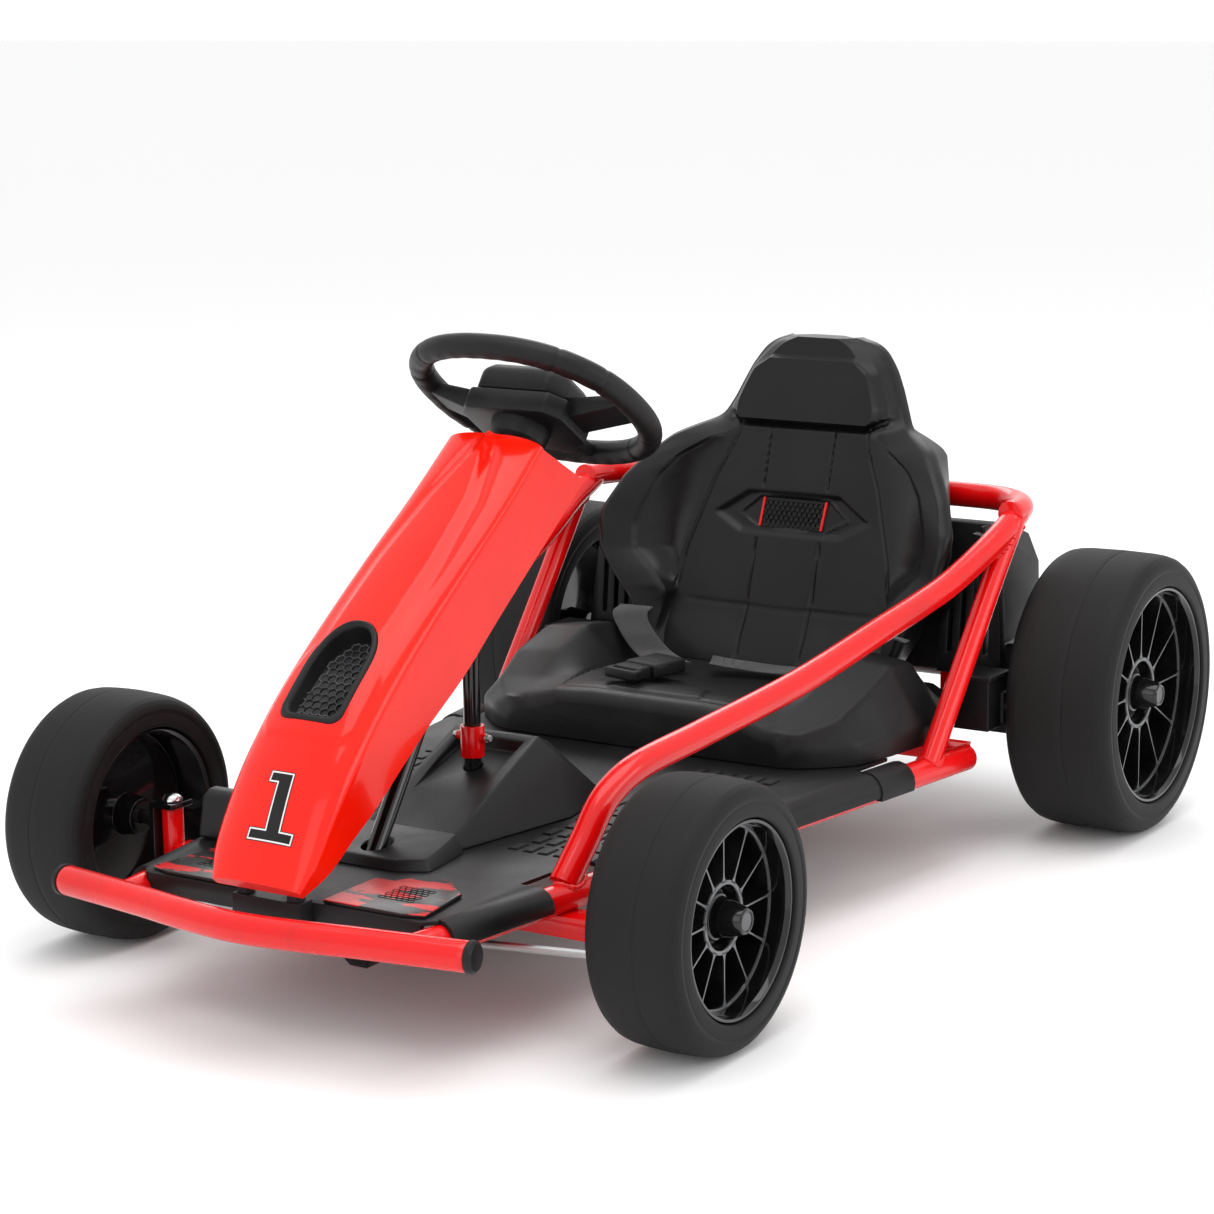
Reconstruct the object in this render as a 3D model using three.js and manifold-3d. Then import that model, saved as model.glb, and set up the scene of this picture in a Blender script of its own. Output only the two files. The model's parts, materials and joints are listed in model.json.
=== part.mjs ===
// Child's electric drift kart: splayed tube chassis, guard bars and rear hoop, nose shell, moulded seat,
// steering gear with swivelling front hubs, and four spoked wheels on slick tyres.
// Millimetres. +X forward, +Y to the driver's left, +Z up, standing on z = 0.
import * as THREE from 'three';
import { mergeVertices } from 'three/addons/utils/BufferGeometryUtils.js';
import { ConvexGeometry } from 'three/addons/geometries/ConvexGeometry.js';
import Module from 'manifold-3d';

const wasm = await Module();
wasm.setup();

// ---------------------------------------------------------------- driving dimensions
const GAP = 0.3;                 // clearance kept between pieces that touch
const FRONT_AXLE_X = 339.4;      // front axle ahead of the middle of the overall length
const WHEELBASE = 760;
const FRONT = { R: 110, width: 86, rim: 81, y: 298.4 };
const REAR = { R: 137.3, width: 109.5, rim: 106, y: 316.4 };
const LIP = { front: 18, rear: 21 };  // spoke face inboard of the tyre's outer side
const SPOKES = 12;
const TUBE_R = 12.5;             // main frame tube, 25 mm
const RAIL_Z = 102;
const RAIL_Y0 = 167.7;           // rail centre line abreast of the front axle
const RAIL_SPLAY = 0.145;        // outward run per mm rearward
const RAIL_FRONT = 172;
const RAIL_REAR = -612;
const BUMPER = { z: 108, endX: 175.5, endY: 201.4, midX: 206 };
const HOOP = { z: 318, halfWidth: 243, frontX: -684, backX: -762, corner: 72 };
const KINGPIN_Y = 237;
const STUB_R = 6;                // front stub axles and rear axle
const COLUMN = { foot: [27, 0, 117], lean: 35, r: 8, low: -67, high: 404 };
const WHEEL_S = 434;             // steering wheel plane, along the column from its foot
const GRIP = { R: 102, r: 11.2, length: 0.958, power: 2.3 };
const PITMAN = 34;               // radius of the pitman stud
const EYE_S = 72;                // depth of the upper tie rod eye below the column's foot point
const EYE_STEP = 6;              // the right-hand eye hangs this much lower on the same stud
const ARM_X = 45;                // tie rod stud ahead of the kingpin
const EYE = { outer: 9.9, bore: 7.8, half: 2.2 };
const FLOOR = { top: 118, under: 114.8, front: 150, back: -478 };
const PAD_TOP = 121.5;
const SHELL = 3;                 // wall of the nose shell
const DEG = Math.PI / 180;

const paint = (color, roughness, metalness = 0) => new THREE.MeshStandardMaterial({ color, roughness, metalness });
const LOOK = {
  red: paint(0xd3110c, 0.25), black: paint(0x1b1b1d, 0.55), gloss: paint(0x0b0b0c, 0.18), steel: paint(0xb9bcc0, 0.3, 1),
  rubber: paint(0x232325, 0.85), webbing: paint(0x141416, 0.95), grille: paint(0x2c2c2f, 0.5), zinc: paint(0x8d9094, 0.4, 1),
};

const kart = new THREE.Group();
const body = new THREE.Group();  // x measured from the front axle
body.position.x = FRONT_AXLE_X;
kart.add(body);

// ---------------------------------------------------------------- geometry helpers
const V = (x, y, z) => new THREE.Vector3(x, y, z);
const mirrorY = (p) => [p[0], -p[1], p[2]];
const railY = (x) => RAIL_Y0 - x * RAIL_SPLAY;

const bare = (g) => {            // position only, shared corners merged
  g = g.clone();
  for (const k of Object.keys(g.attributes)) if (k !== 'position') g.deleteAttribute(k);
  return mergeVertices(g, 1e-3);
};
const solid = (g) => {
  const m = bare(g);
  return new wasm.Manifold(new wasm.Mesh({
    numProp: 3, vertProperties: new Float32Array(m.attributes.position.array), triVerts: new Uint32Array(m.index.array),
  }));
};
const shape = (s) => {           // manifold solid back to a geometry
  const m = s.getMesh();
  const g = new THREE.BufferGeometry();
  const p = new Float32Array(m.numVert * 3);
  for (let i = 0; i < m.numVert; i++) for (let k = 0; k < 3; k++) p[3 * i + k] = m.vertProperties[i * m.numProp + k];
  g.setAttribute('position', new THREE.BufferAttribute(p, 3));
  g.setIndex(new THREE.BufferAttribute(new Uint32Array(m.triVerts), 1));
  return g;
};
const join = (...gs) => shape(gs.map(solid).reduce((a, b) => a.add(b)));
const cut = (g, ...tools) => shape(tools.map(solid).reduce((a, b) => a.subtract(b), solid(g)));
const trim = (g, ...tools) => shape(tools.map(solid).reduce((a, b) => a.subtract(b), solid(g)).decompose()   // largest remaining body
  .reduce((a, b) => (b.volume() > a.volume() ? b : a)));
const box = (x0, x1, y0, y1, z0, z1) => new THREE.BoxGeometry(x1 - x0, y1 - y0, z1 - z0).translate((x0 + x1) / 2, (y0 + y1) / 2, (z0 + z1) / 2);
const rod = (a, b, r, sides = 16, r2 = r) => {
  const A = V(...a), B = V(...b), d = B.clone().sub(A);
  const g = new THREE.CylinderGeometry(r2, r, d.length(), sides);
  g.applyQuaternion(new THREE.Quaternion().setFromUnitVectors(V(0, 1, 0), d.clone().normalize()));
  return g.translate(...A.add(B).multiplyScalar(0.5).toArray());
};
const ring = (a, b, rOut, rIn, sides = 24) => {
  const d = V(...b).sub(V(...a)).normalize();
  return cut(rod(a, b, rOut, sides), rod(V(...a).addScaledVector(d, -1).toArray(), V(...b).addScaledVector(d, 1).toArray(), rIn, sides));
};
const circle = (r, sides) => new THREE.Shape(Array.from({ length: sides }, (_, i) =>
  new THREE.Vector2(r * Math.cos((2 * Math.PI * i) / sides), r * Math.sin((2 * Math.PI * i) / sides))));
const bentTube = (points, r, steps, sides = 12) => new THREE.ExtrudeGeometry(circle(r, sides), {
  steps, bevelEnabled: false,
  extrudePath: points.getPoint ? points : new THREE.CatmullRomCurve3(points.map((p) => V(...p)), false, 'centripetal'),
});
const prism = (outline, z0, z1) => new THREE.ExtrudeGeometry(new THREE.Shape(outline.map((p) => new THREE.Vector2(...p))),
  { depth: z1 - z0, bevelEnabled: false }).translate(0, 0, z0);
const hull = (points) => new ConvexGeometry(points.map((p) => V(...p)));
const turned = (profile, sides = 36) => new THREE.LatheGeometry([...profile, profile[0]].map((p) => new THREE.Vector2(...p)), sides);
const turnedSolid = (profile, sides = 24) => new THREE.LatheGeometry(profile.map((p) => new THREE.Vector2(...p)), sides);
const signedVolume = (p, idx) => {
  let v = 0;
  for (let i = 0; i < idx.length; i += 3) v += p[idx[i]].dot(p[idx[i + 1]].clone().cross(p[idx[i + 2]]));
  return v;
};
const loft = (rings, flat) => {  // rings of equal count, end faces filled after flattening with flat()
  const n = rings[0].length, p = rings.flat(), idx = [];
  for (let r = 0; r + 1 < rings.length; r++) for (let i = 0; i < n; i++) {
    const a = r * n + i, b = r * n + ((i + 1) % n), c = a + n, d = b + n;
    idx.push(a, b, d, a, d, c);
  }
  const cap = (ringPts, base, flip) => {
    for (const t of THREE.ShapeUtils.triangulateShape(ringPts.map(flat), [])) {
      const f = flip ? [t[2], t[1], t[0]] : t;
      idx.push(...f.map((k) => k + base));
    }
  };
  const clockwise = THREE.ShapeUtils.isClockWise(rings[0].map(flat));
  cap(rings[0], 0, !clockwise);
  cap(rings.at(-1), (rings.length - 1) * n, clockwise);
  let out = idx;
  const g = new THREE.BufferGeometry().setFromPoints(p);
  // the caps take their turn from the side walls, then the whole skin faces outward
  const edge = new Set();
  for (let i = 0; i < rings[0].length * (rings.length - 1) * 6; i += 3) for (let k = 0; k < 3; k++) edge.add(`${idx[i + k]}_${idx[i + ((k + 1) % 3)]}`);
  const wall = rings[0].length * (rings.length - 1) * 6;
  let clash = 0;
  for (let i = wall; i < idx.length; i += 3) for (let k = 0; k < 3; k++) if (edge.has(`${idx[i + k]}_${idx[i + ((k + 1) % 3)]}`)) clash++;
  if (clash) for (let i = wall; i < idx.length; i += 3) [out[i], out[i + 2]] = [out[i + 2], out[i]];
  if (signedVolume(p, out) < 0) for (let i = 0; i < out.length; i += 3) [out[i], out[i + 2]] = [out[i + 2], out[i]];
  g.setIndex(out);
  return g;
};
const add = (parent, name, geometry, look) => {
  const mesh = new THREE.Mesh(geometry, look);
  mesh.name = name;
  parent.add(mesh);
  return mesh;
};
const SIDES = [['left', 1], ['right', -1]];
const flipY = (g) => {           // mirror in the centre plane, keeping faces outward
  const m = bare(g), p = m.attributes.position;
  for (let i = 0; i < p.count; i++) p.setY(i, -p.getY(i));
  const ix = m.index.array;
  for (let i = 0; i < ix.length; i += 3) [ix[i], ix[i + 2]] = [ix[i + 2], ix[i]];
  return m;
};
const sided = (g, s) => (s > 0 ? g : flipY(g));

// ---------------------------------------------------------------- chassis tubes
const bumperCurve = new THREE.CatmullRomCurve3([
  [BUMPER.endX, BUMPER.endY], [190, 109], [199.5, 59], [BUMPER.midX, 0], [199.5, -59], [190, -109], [BUMPER.endX, -BUMPER.endY],
].map(([x, y]) => V(x, y, BUMPER.z)), false, 'centripetal');
const bumper = bentTube(bumperCurve, TUBE_R, 14, 12);
add(body, 'bumper_bar', bumper, LOOK.red);
const bumperFat = bentTube(bumperCurve, TUBE_R + GAP, 14, 12);
for (const [side, s] of SIDES) {
  const t = bumperCurve.getTangent(0).negate();
  const end = V(BUMPER.endX, BUMPER.endY, BUMPER.z);
  const at = (d) => end.clone().addScaledVector(t, d).toArray();
  add(body, `bumper_cap_${side}`, sided(rod(at(GAP), at(7), 13.2, 20, 11), s), LOOK.black);
}

const rail = (s, r, x0 = RAIL_FRONT + 8, x1 = RAIL_REAR, sides = 12) => rod([x0, s * railY(x0), RAIL_Z], [x1, s * railY(x1), RAIL_Z], r, sides);
const GUARD_PATH = [[-8, 165.5, 111], [-38, 168, 142], [-60, 171, 168], [-84, 174, 182], [-110, 177, 189.5], [-191, 186, 199], [-335, 204, 218],
  [-470, 219.5, 244.5], [-525, 226, 255.5], [-570, 231.5, 266], [-617, 238, 283], [-652, 242.6, 297.5], [-678, 248, 309]];
const STRUT_PATH = [[-509, 242, 103], [-574, 243.6, 181], [-650, 245.5, 273], [-683, 247, 312]];
for (const [side, s] of SIDES) {
  add(body, `lower_rail_${side}`, trim(rail(s, TUBE_R), bumperFat), LOOK.red);
  const guard = bentTube(GUARD_PATH, TUBE_R, 22, 10);
  add(body, `guard_bar_${side}`, sided(trim(guard, rail(1, TUBE_R + GAP)), s), LOOK.red);
  const strut = bentTube(STRUT_PATH, 10.5, 4, 10);
  add(body, `strut_${side}`, sided(trim(strut, rail(1, TUBE_R + GAP), bentTube(GUARD_PATH, TUBE_R + GAP, 22, 10), box(-720, -679, 200, 300, 290, 330)), s), LOOK.red);
}
const hoopCurve = new THREE.CurvePath();
{
  const h = HOOP, c = h.corner, y = h.halfWidth, P = (x, yy) => V(x, yy, h.z);
  const arc = (cx, cy, a0, a1, n = 7) => Array.from({ length: n + 1 }, (_, i) => P(cx + c * Math.cos(a0 + ((a1 - a0) * i) / n), cy + c * Math.sin(a0 + ((a1 - a0) * i) / n)));
  const pts = [P(h.frontX, y - 5.5), ...arc(h.backX + c, y - c, Math.PI / 2, Math.PI), ...arc(h.backX + c, c - y, Math.PI, 1.5 * Math.PI), P(h.frontX, 5.5 - y)];
  hoopCurve.curves.push(new THREE.CatmullRomCurve3(pts, false, 'centripetal'));
}
add(body, 'rear_hoop', trim(bentTube(hoopCurve.curves[0], TUBE_R, 26, 10),
  ...SIDES.flatMap(([, s]) => [sided(bentTube(GUARD_PATH, TUBE_R + GAP, 22, 10), s), sided(bentTube(STRUT_PATH, 10.5 + GAP, 4, 10), s)])), LOOK.red);
const cross = (x, r) => trim(rod([x, -railY(x), RAIL_Z], [x, railY(x), RAIL_Z], r, 14), rail(1, TUBE_R + GAP), rail(-1, TUBE_R + GAP),
  box(x - 40, x + 40, railY(x), railY(x) + 40, 60, 140), box(x - 40, x + 40, -railY(x) - 40, -railY(x), 60, 140));
add(body, 'cross_tube_middle', cross(-300, 11), LOOK.red);

// ---------------------------------------------------------------- front axle beam, swivelling hubs and steering gear
const lean = (-COLUMN.lean * DEG);
const steering = new THREE.Group();
steering.position.set(...COLUMN.foot);
steering.rotation.y = lean;
body.add(steering);
const onColumn = (g) => g.applyMatrix4(new THREE.Matrix4().makeRotationY(lean).setPosition(...COLUMN.foot));  // column frame to kart frame
const beam = join(box(-12.5, 12.5, -222, 222, 74, 92), box(-12.5, 12.5, -229, 229, 79, 92),
  ...SIDES.map(([, s]) => rod([0, s * KINGPIN_Y, 78], [0, s * KINGPIN_Y, 124], 9.6, 16)));
const columnHolder = join(box(-12, 64, -20, 20, 83, 89), box(-12, 58, -22, 22, 52, 56), box(-12, 8, -22, 22, 55, 75));
add(body, 'front_axle_beam', cut(join(beam, columnHolder), onColumn(rod([0, 0, -60], [0, 0, 0], COLUMN.r + GAP, 16)), ...SIDES.flatMap(([, s]) => [rail(s, TUBE_R + GAP), rod([0, s * KINGPIN_Y, 60], [0, s * KINGPIN_Y, 140], 5.3, 12)])), LOOK.red);
for (const [side, s] of SIDES) {
  const hub = new THREE.Group();
  hub.position.set(0, s * KINGPIN_Y, 0);
  body.add(hub);
  const out = FRONT.y - KINGPIN_Y;
  const bracket = join(box(-14, 14, -11, 14, 124 + GAP, 129), box(-14, 14, -7.5, 14, 73, 78 - GAP), box(-14, 14, 10.2, 14.7, 73, 129),
    rod([0, 13, FRONT.R], [0, out + FRONT.width / 2 - LIP.front + 8.5, FRONT.R], STUB_R, 16), rod([0, 13, FRONT.R], [0, 20, FRONT.R], 11, 16),
    box(9.5, 14, -7.5, 7.5, 64, 74), prism([[9.5, -7.5], [ARM_X, -7.5], [ARM_X + 7, 0], [ARM_X, 7.5], [9.5, 7.5]], 62.5, 67), rod([ARM_X, 0, 66], [ARM_X, 0, 81], 3.4, 12));
  add(hub, `knuckle_${side}`, sided(cut(bracket, rod([0, 0, 60], [0, 0, 140], 5.3, 12)), s), LOOK.black);
  const pin = join(rod([0, 0, 64], [0, 0, 130], 5, 12), turnedSolid([[0, 129 + GAP], [9.5, 129 + GAP], [9.5, 131], [7.5, 134], [4, 136], [0, 136.6]], 14).rotateX(Math.PI / 2),
    rod([0, 0, 66], [0, 0, 73 - GAP], 8.5, 6));
  add(hub, `kingpin_${side}`, pin, LOOK.steel);

  // tie rod from the ball on the pitman arm to the stud on the swivel
  const d = Math.sin(-lean), c = Math.cos(lean);
  const depth = EYE_S + (s < 0 ? EYE_STEP / c : 0);
  const z = COLUMN.foot[2] - depth * c + PITMAN * d;
  const eyes = [[COLUMN.foot[0] + depth * d + PITMAN * c, -KINGPIN_Y], [ARM_X, 0]];
  const dir = V(eyes[1][0] - eyes[0][0], eyes[1][1] - eyes[0][1], 0).normalize();
  const bar = rod([eyes[0][0] + 7.5 * dir.x, eyes[0][1] + 7.5 * dir.y, z], [eyes[1][0] - 6 * dir.x, eyes[1][1] - 6 * dir.y, z], 3.6, 8);
  const eye = (k, r, half) => rod([...eyes[k], z - half], [...eyes[k], z + half], r, 14);
  const link = cut(join(bar, eye(0, EYE.outer, EYE.half), eye(1, 8, EYE.half)), eye(0, EYE.bore, 6), eye(1, 4, 6));
  add(hub, `tie_rod_${side}`, sided(link, s), LOOK.zinc);
}

add(body, 'skid_block', hull([[18, -13, 52 - GAP], [18, 13, 52 - GAP], [56, -13, 52 - GAP], [56, 13, 52 - GAP], [24, -14, 38], [24, 14, 38], [54, -14, 38], [54, 14, 38], [32, -9, 30], [32, 9, 30], [50, -9, 30], [50, 9, 30]]), LOOK.rubber);

// ---------------------------------------------------------------- steering column, pitman arm and steering wheel (column frame)
const column = join(rod([0, 0, COLUMN.low], [0, 0, COLUMN.high], COLUMN.r, 16),
  prism([[-14, -10], [0, -15], [PITMAN + 2, -11], [PITMAN + 8, -8], [PITMAN + 8, 8], [PITMAN + 2, 11], [0, 15], [-14, 10]], -60, -54),
  rod([PITMAN, 0, -84], [PITMAN, 0, -57], 2.4, 10));
add(steering, 'steering_column', column, LOOK.gloss);
const grip = new THREE.TorusGeometry(GRIP.R, GRIP.r, 8, 30);
{
  const p = grip.attributes.position;
  for (let i = 0; i < p.count; i++) {  // rounded square outline, slightly shorter fore and aft
    const x = p.getX(i), y = p.getY(i), a = Math.atan2(y, x), rr = Math.hypot(x, y) || 1;
    const k = Math.pow(Math.pow(Math.abs(Math.cos(a)), GRIP.power) + Math.pow(Math.abs(Math.sin(a)), GRIP.power), -1 / GRIP.power);
    const off = rr - GRIP.R, R = GRIP.R * k + off;
    p.setX(i, R * Math.cos(a) * GRIP.length);
    p.setY(i, R * Math.sin(a));
  }
}
const spoke = (s) => hull([[-22, s * 46, 410], [10, s * 46, 410], [-22, s * 46, 430], [12, s * 46, 430],
  [-20, s * 99, 424], [14, s * 99, 424], [-20, s * 99, 436], [14, s * 99, 436]]);
const collar = turned([[8 + GAP, 382], [21, 382], [25, 390], [27, 405], [8 + GAP, 405]], 16).rotateX(Math.PI / 2);
const wheelSolid = join(collar, grip.translate(-7, 0, WHEEL_S), spoke(1), spoke(-1),
  hull([[-40, -18, 412], [-40, 18, 412], [-40, -18, 428], [-40, 18, 428], [-100, -15, 426], [-100, 15, 426], [-100, -15, 438], [-100, 15, 438]]),
  prism([[-44, -30], [-44, 30], [-26, 52], [20, 52], [34, 40], [34, -40], [20, -52], [-26, -52]], 404, 424));
add(steering, 'steering_wheel', wheelSolid, LOOK.black);
add(steering, 'hub_cover', cut(hull([...[[-38, 26], [-22, 46], [18, 46], [33, 34], [33, -34], [18, -46], [-22, -46], [-38, -26]].map(([x, y]) => [x, y, 424 + GAP]),
  ...[[-38, 26], [-22, 46], [18, 46], [33, 34], [33, -34], [18, -46], [-22, -46], [-38, -26]].map(([x, y]) => [x, y, 444]),
  ...[[-32, 22], [-18, 38], [14, 38], [26, 28], [26, -28], [14, -38], [-18, -38], [-32, -22]].map(([x, y]) => [x, y, 452])],
), spoke(1), spoke(-1), hull([[-30, -19, 411], [-30, 19, 411], [-30, -19, 429], [-30, 19, 429], [-101, -16, 425], [-101, 16, 425], [-101, -16, 439], [-101, 16, 439]]),
rod([-4, 0, 440], [-4, 0, 460], 15, 28)), LOOK.black);
add(steering, 'horn_button', rod([-4, 0, 444], [-4, 0, 456], 14, 28), LOOK.red);

// ---------------------------------------------------------------- wheels
const WHEEL_SIDES = 24;
const tyreProfile = ({ R, width, rim }) => {
  const h = width / 2, wall = R - rim;
  return [[rim, -(h - 5)], [rim + 4, -(h - 1)], [R - 0.35 * wall, -h], [R - 0.08 * wall, -(h - 8)], [R - 1.5, -(h - 17)], [R, 0],
    [R - 1.5, h - 17], [R - 0.08 * wall, h - 8], [R - 0.35 * wall, h], [rim + 4, h - 1], [rim, h - 5]];
};
// lip: how far the spoke face sits inboard of the tyre's outer side
const rimSolid = ({ width, rim }, hubR, lip) => {
  const h = width / 2, o = rim - GAP, web = h - lip;
  const dish = turned([[o, -(h - 6)], [o, h - 6], [o - 5, h - 6], [o - 9, web - 12], [hubR, web - 12], [hubR, web - 3], [17, web + 9],
    [STUB_R + GAP, web + 9], [STUB_R + GAP, -26], [16, -26], [19, web - 17], [o - 7, web - 17], [o - 5, -(h - 6)]], WHEEL_SIDES);
  const bars = Array.from({ length: SPOKES }, (_, i) => hull([[-3.6, web - 13, hubR - 4], [3.6, web - 13, hubR - 4], [0, web - 2, hubR - 4],
    [-3.6, web - 13, o - 9], [3.6, web - 13, o - 9], [0, web - 4, o - 9]]).rotateY((2 * Math.PI * i) / SPOKES));
  return join(dish, ...bars);
};
const capSolid = ({ width }, lip) => {
  const w = width / 2 - lip + 9 + GAP;
  return turnedSolid([[0, w + 3], [9, w + 3], [9, w], [20, w], [19, w + 4], [12, w + 7], [10.5, w + 13], [0, w + 13]], 16);
};
const wheel = (parent, name, spec, x, y, z, s, hubR, lip) => {
  const g = new THREE.Group();
  g.position.set(x, y, z);
  if (s < 0) g.rotation.z = Math.PI;   // the right-hand wheel is the same wheel turned round
  parent.add(g);
  add(g, `tyre_${name}`, turned(tyreProfile(spec), WHEEL_SIDES), LOOK.rubber);
  add(g, `rim_${name}`, rimSolid(spec, hubR, lip), LOOK.gloss);
  add(g, `wheel_cap_${name}`, capSolid(spec, lip), LOOK.black);
};
for (const [side, s] of SIDES) {
  wheel(body, `front_${side}`, FRONT, 0, s * FRONT.y, FRONT.R, s, 29, LIP.front);
  wheel(body, `rear_${side}`, REAR, -WHEELBASE, s * REAR.y, REAR.R, s, 34, LIP.rear);
}

// ---------------------------------------------------------------- rear axle, carriers and gearboxes
const AX = -WHEELBASE, AZ = REAR.R;
add(body, 'rear_axle', rod([AX, -(REAR.y + REAR.width / 2 - LIP.rear + 8.5), AZ], [AX, REAR.y + REAR.width / 2 - LIP.rear + 8.5, AZ], STUB_R, 20), LOOK.zinc);
const carriers = SIDES.flatMap(([, s]) => [sided(box(-820, -590, 140, 160, 92, 112), s), sided(box(AX - 30, AX + 30, 146, 154, 111, 150 - GAP), s)]);
add(body, 'rear_subframe', cut(join(cross(-590, 11), ...carriers), rod([AX, -180, AZ], [AX, 180, AZ], STUB_R + GAP, 20)), LOOK.red);
for (const [side, s] of SIDES) {
  const gearbox = join(rod([AX, 205, AZ], [AX, 258, AZ], 34, 20), hull([[AX, 206, AZ - 34], [AX, 257, AZ - 34], [AX, 206, AZ + 12], [AX, 257, AZ + 12],
    [AX + 92, 206, 104], [AX + 92, 257, 104], [AX + 92, 206, 128], [AX + 92, 257, 128]]));
  add(body, `gearbox_${side}`, sided(cut(gearbox, rod([AX, 190, AZ], [AX, 280, AZ], STUB_R + GAP, 20)), s), LOOK.black);
}

// ---------------------------------------------------------------- floor
const floorOutline = [[FLOOR.front, 0], [FLOOR.front, railY(FLOOR.front) - 6], [FLOOR.front - 12, railY(FLOOR.front) + 2]];
const half = [[FLOOR.front, 0], [FLOOR.front, 138], [FLOOR.front - 10, railY(FLOOR.front - 10)], [FLOOR.back + 55, railY(FLOOR.back + 55)], [FLOOR.back + 55, railY(FLOOR.back + 55) - 18], [FLOOR.back, railY(FLOOR.back) - 20], [FLOOR.back, 0]];
let floor = prism([...half, ...half.slice(1, -1).reverse().map(([x, y]) => [x, -y])], FLOOR.under, FLOOR.top);
const sleeves = SIDES.map(([, s]) => rail(s, TUBE_R + 4.2, FLOOR.front - 12, FLOOR.back + 55, 16));
floor = cut(join(floor, ...sleeves, box(FLOOR.front - 5, FLOOR.front, -138, 138, 101, FLOOR.under + 1)),
  rail(1, TUBE_R + GAP), rail(-1, TUBE_R + GAP), box(-520, 200, 100, 300, 60, 98), box(-520, 200, -300, -100, 60, 98),
  box(FLOOR.back + 20, FLOOR.front - 5.2, 100, 300, 60, 99).translate(0, 0, -1),
  // the wall inboard of each rail is left off, so the floor hooks over the tube
  ...SIDES.map(([, s]) => sided(prism([[FLOOR.front - 5, 0], [FLOOR.front - 5, railY(FLOOR.front) - 1], [FLOOR.back, railY(FLOOR.back) - 1], [FLOOR.back, 0]], 60, FLOOR.under), s)),
  // foot of each guard bar
  ...SIDES.map(([, s]) => sided(prism([[26, railY(26) - 17], [26, 230], [-54, 230], [-54, railY(-54) - 21]], 60, 140), s)),
  onColumn(rod([0, 0, -30], [0, 0, 30], 12, 20)));
const clip = cut(rail(1, TUBE_R + 6, FLOOR.back + 62, FLOOR.back + 12, 16), rail(1, TUBE_R + GAP), box(-520, -400, 150, 300, 60, 95),
    prism([[-400, 0], [-400, railY(-400) - 14], [-520, railY(-520) - 14], [-520, 0]], 60, 140));
add(body, 'floor_pan', join(floor, clip, flipY(clip)), LOOK.black);
for (const [side, s] of SIDES) {
  add(body, `foot_pad_${side}`, sided(prism([[148, 42], [148, 118], [142, 137], [80, 128], [56, 100], [56, 74], [78, 60], [78, 42]], FLOOR.top + GAP, PAD_TOP), s), LOOK.black);
}
const POST_X = -121;
const columnBlock = cut(hull([[50, -40, 118 + GAP], [50, 40, 118 + GAP], [36, -66, 118 + GAP], [36, 66, 118 + GAP], [-24, -58, 118 + GAP], [-24, 58, 118 + GAP],
  [44, -36, 126], [44, 36, 126], [30, -58, 126], [30, 58, 126], [-24, -50, 134], [-24, 50, 134]]), onColumn(rod([0, 0, -20], [0, 0, 40], 12, 20)));
add(body, 'steering_tunnel', join(columnBlock, cut(hull([[-15.5, -50, 118 + GAP], [-15.5, 50, 118 + GAP], [-15.5, -45, 124], [-15.5, 45, 124], [-160, -76, 118 + GAP], [-160, 76, 118 + GAP],
  [-158, -44, 187], [-158, 44, 187], [-238, -62, 118 + GAP], [-238, 62, 118 + GAP], [-186, -34, 176], [-186, 34, 176]]),
rod([POST_X, 0, 150], [POST_X, 0, 260], 8.2, 16),
hull([[-60, -30, 146], [-60, 30, 146], [-150, -34, 172], [-150, 34, 172], [-60, -30, 190], [-60, 30, 190], [-150, -34, 200], [-150, 34, 200]]))), LOOK.black);
const clampS = (328 - 117) / Math.cos(lean);
add(body, 'support_post', cut(join(rod([POST_X, 0, 152], [POST_X, 0, 322], 7.5, 16), onColumn(rod([0, 0, clampS - 12], [0, 0, clampS + 12], 13, 24))),
  onColumn(rod([0, 0, clampS - 40], [0, 0, clampS + 40], COLUMN.r + GAP, 16))), LOOK.gloss);
add(body, 'post_socket', cut(join(rod([POST_X, 0, 172.5], [POST_X, 0, 200], 10.5, 20), rod([POST_X, -15, 190], [POST_X, 15, 190], 4, 12)), rod([POST_X, 0, 160], [POST_X, 0, 210], 7.5 + GAP, 16)), LOOK.red);

// ---------------------------------------------------------------- accelerator
const PEDAL = { x: -24, y: -118, z: 124, halfWidth: 26 };
const HOUSING = { x0: 8, x1: 54, y0: -164, y1: -90, z0: 119.4, top: 161 };
const H = HOUSING;
add(body, 'pedal_housing', hull([H.y0, H.y1].flatMap((y, i) => {
  const m = i ? -1 : 1;
  return [[H.x1, y, H.z0], [H.x0, y, H.z0], [H.x1 - 4, y + 3 * m, H.top - 5], [H.x1 - 10, y + 5 * m, H.top], [H.x0 + 24, y + 5 * m, H.top]];
})), LOOK.black);
const pedal = new THREE.Group();
pedal.position.set(PEDAL.x, PEDAL.y, PEDAL.z);
body.add(pedal);
add(pedal, 'accelerator_pedal', join(rod([0, -PEDAL.halfWidth - 3, 0], [0, PEDAL.halfWidth + 3, 0], 4.5, 12), hull([-1, 1].flatMap((s) => [[-3, s * PEDAL.halfWidth, -2], [3, s * PEDAL.halfWidth, -3], [26, s * PEDAL.halfWidth, 51], [20, s * PEDAL.halfWidth, 54]]))), LOOK.black);

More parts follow.
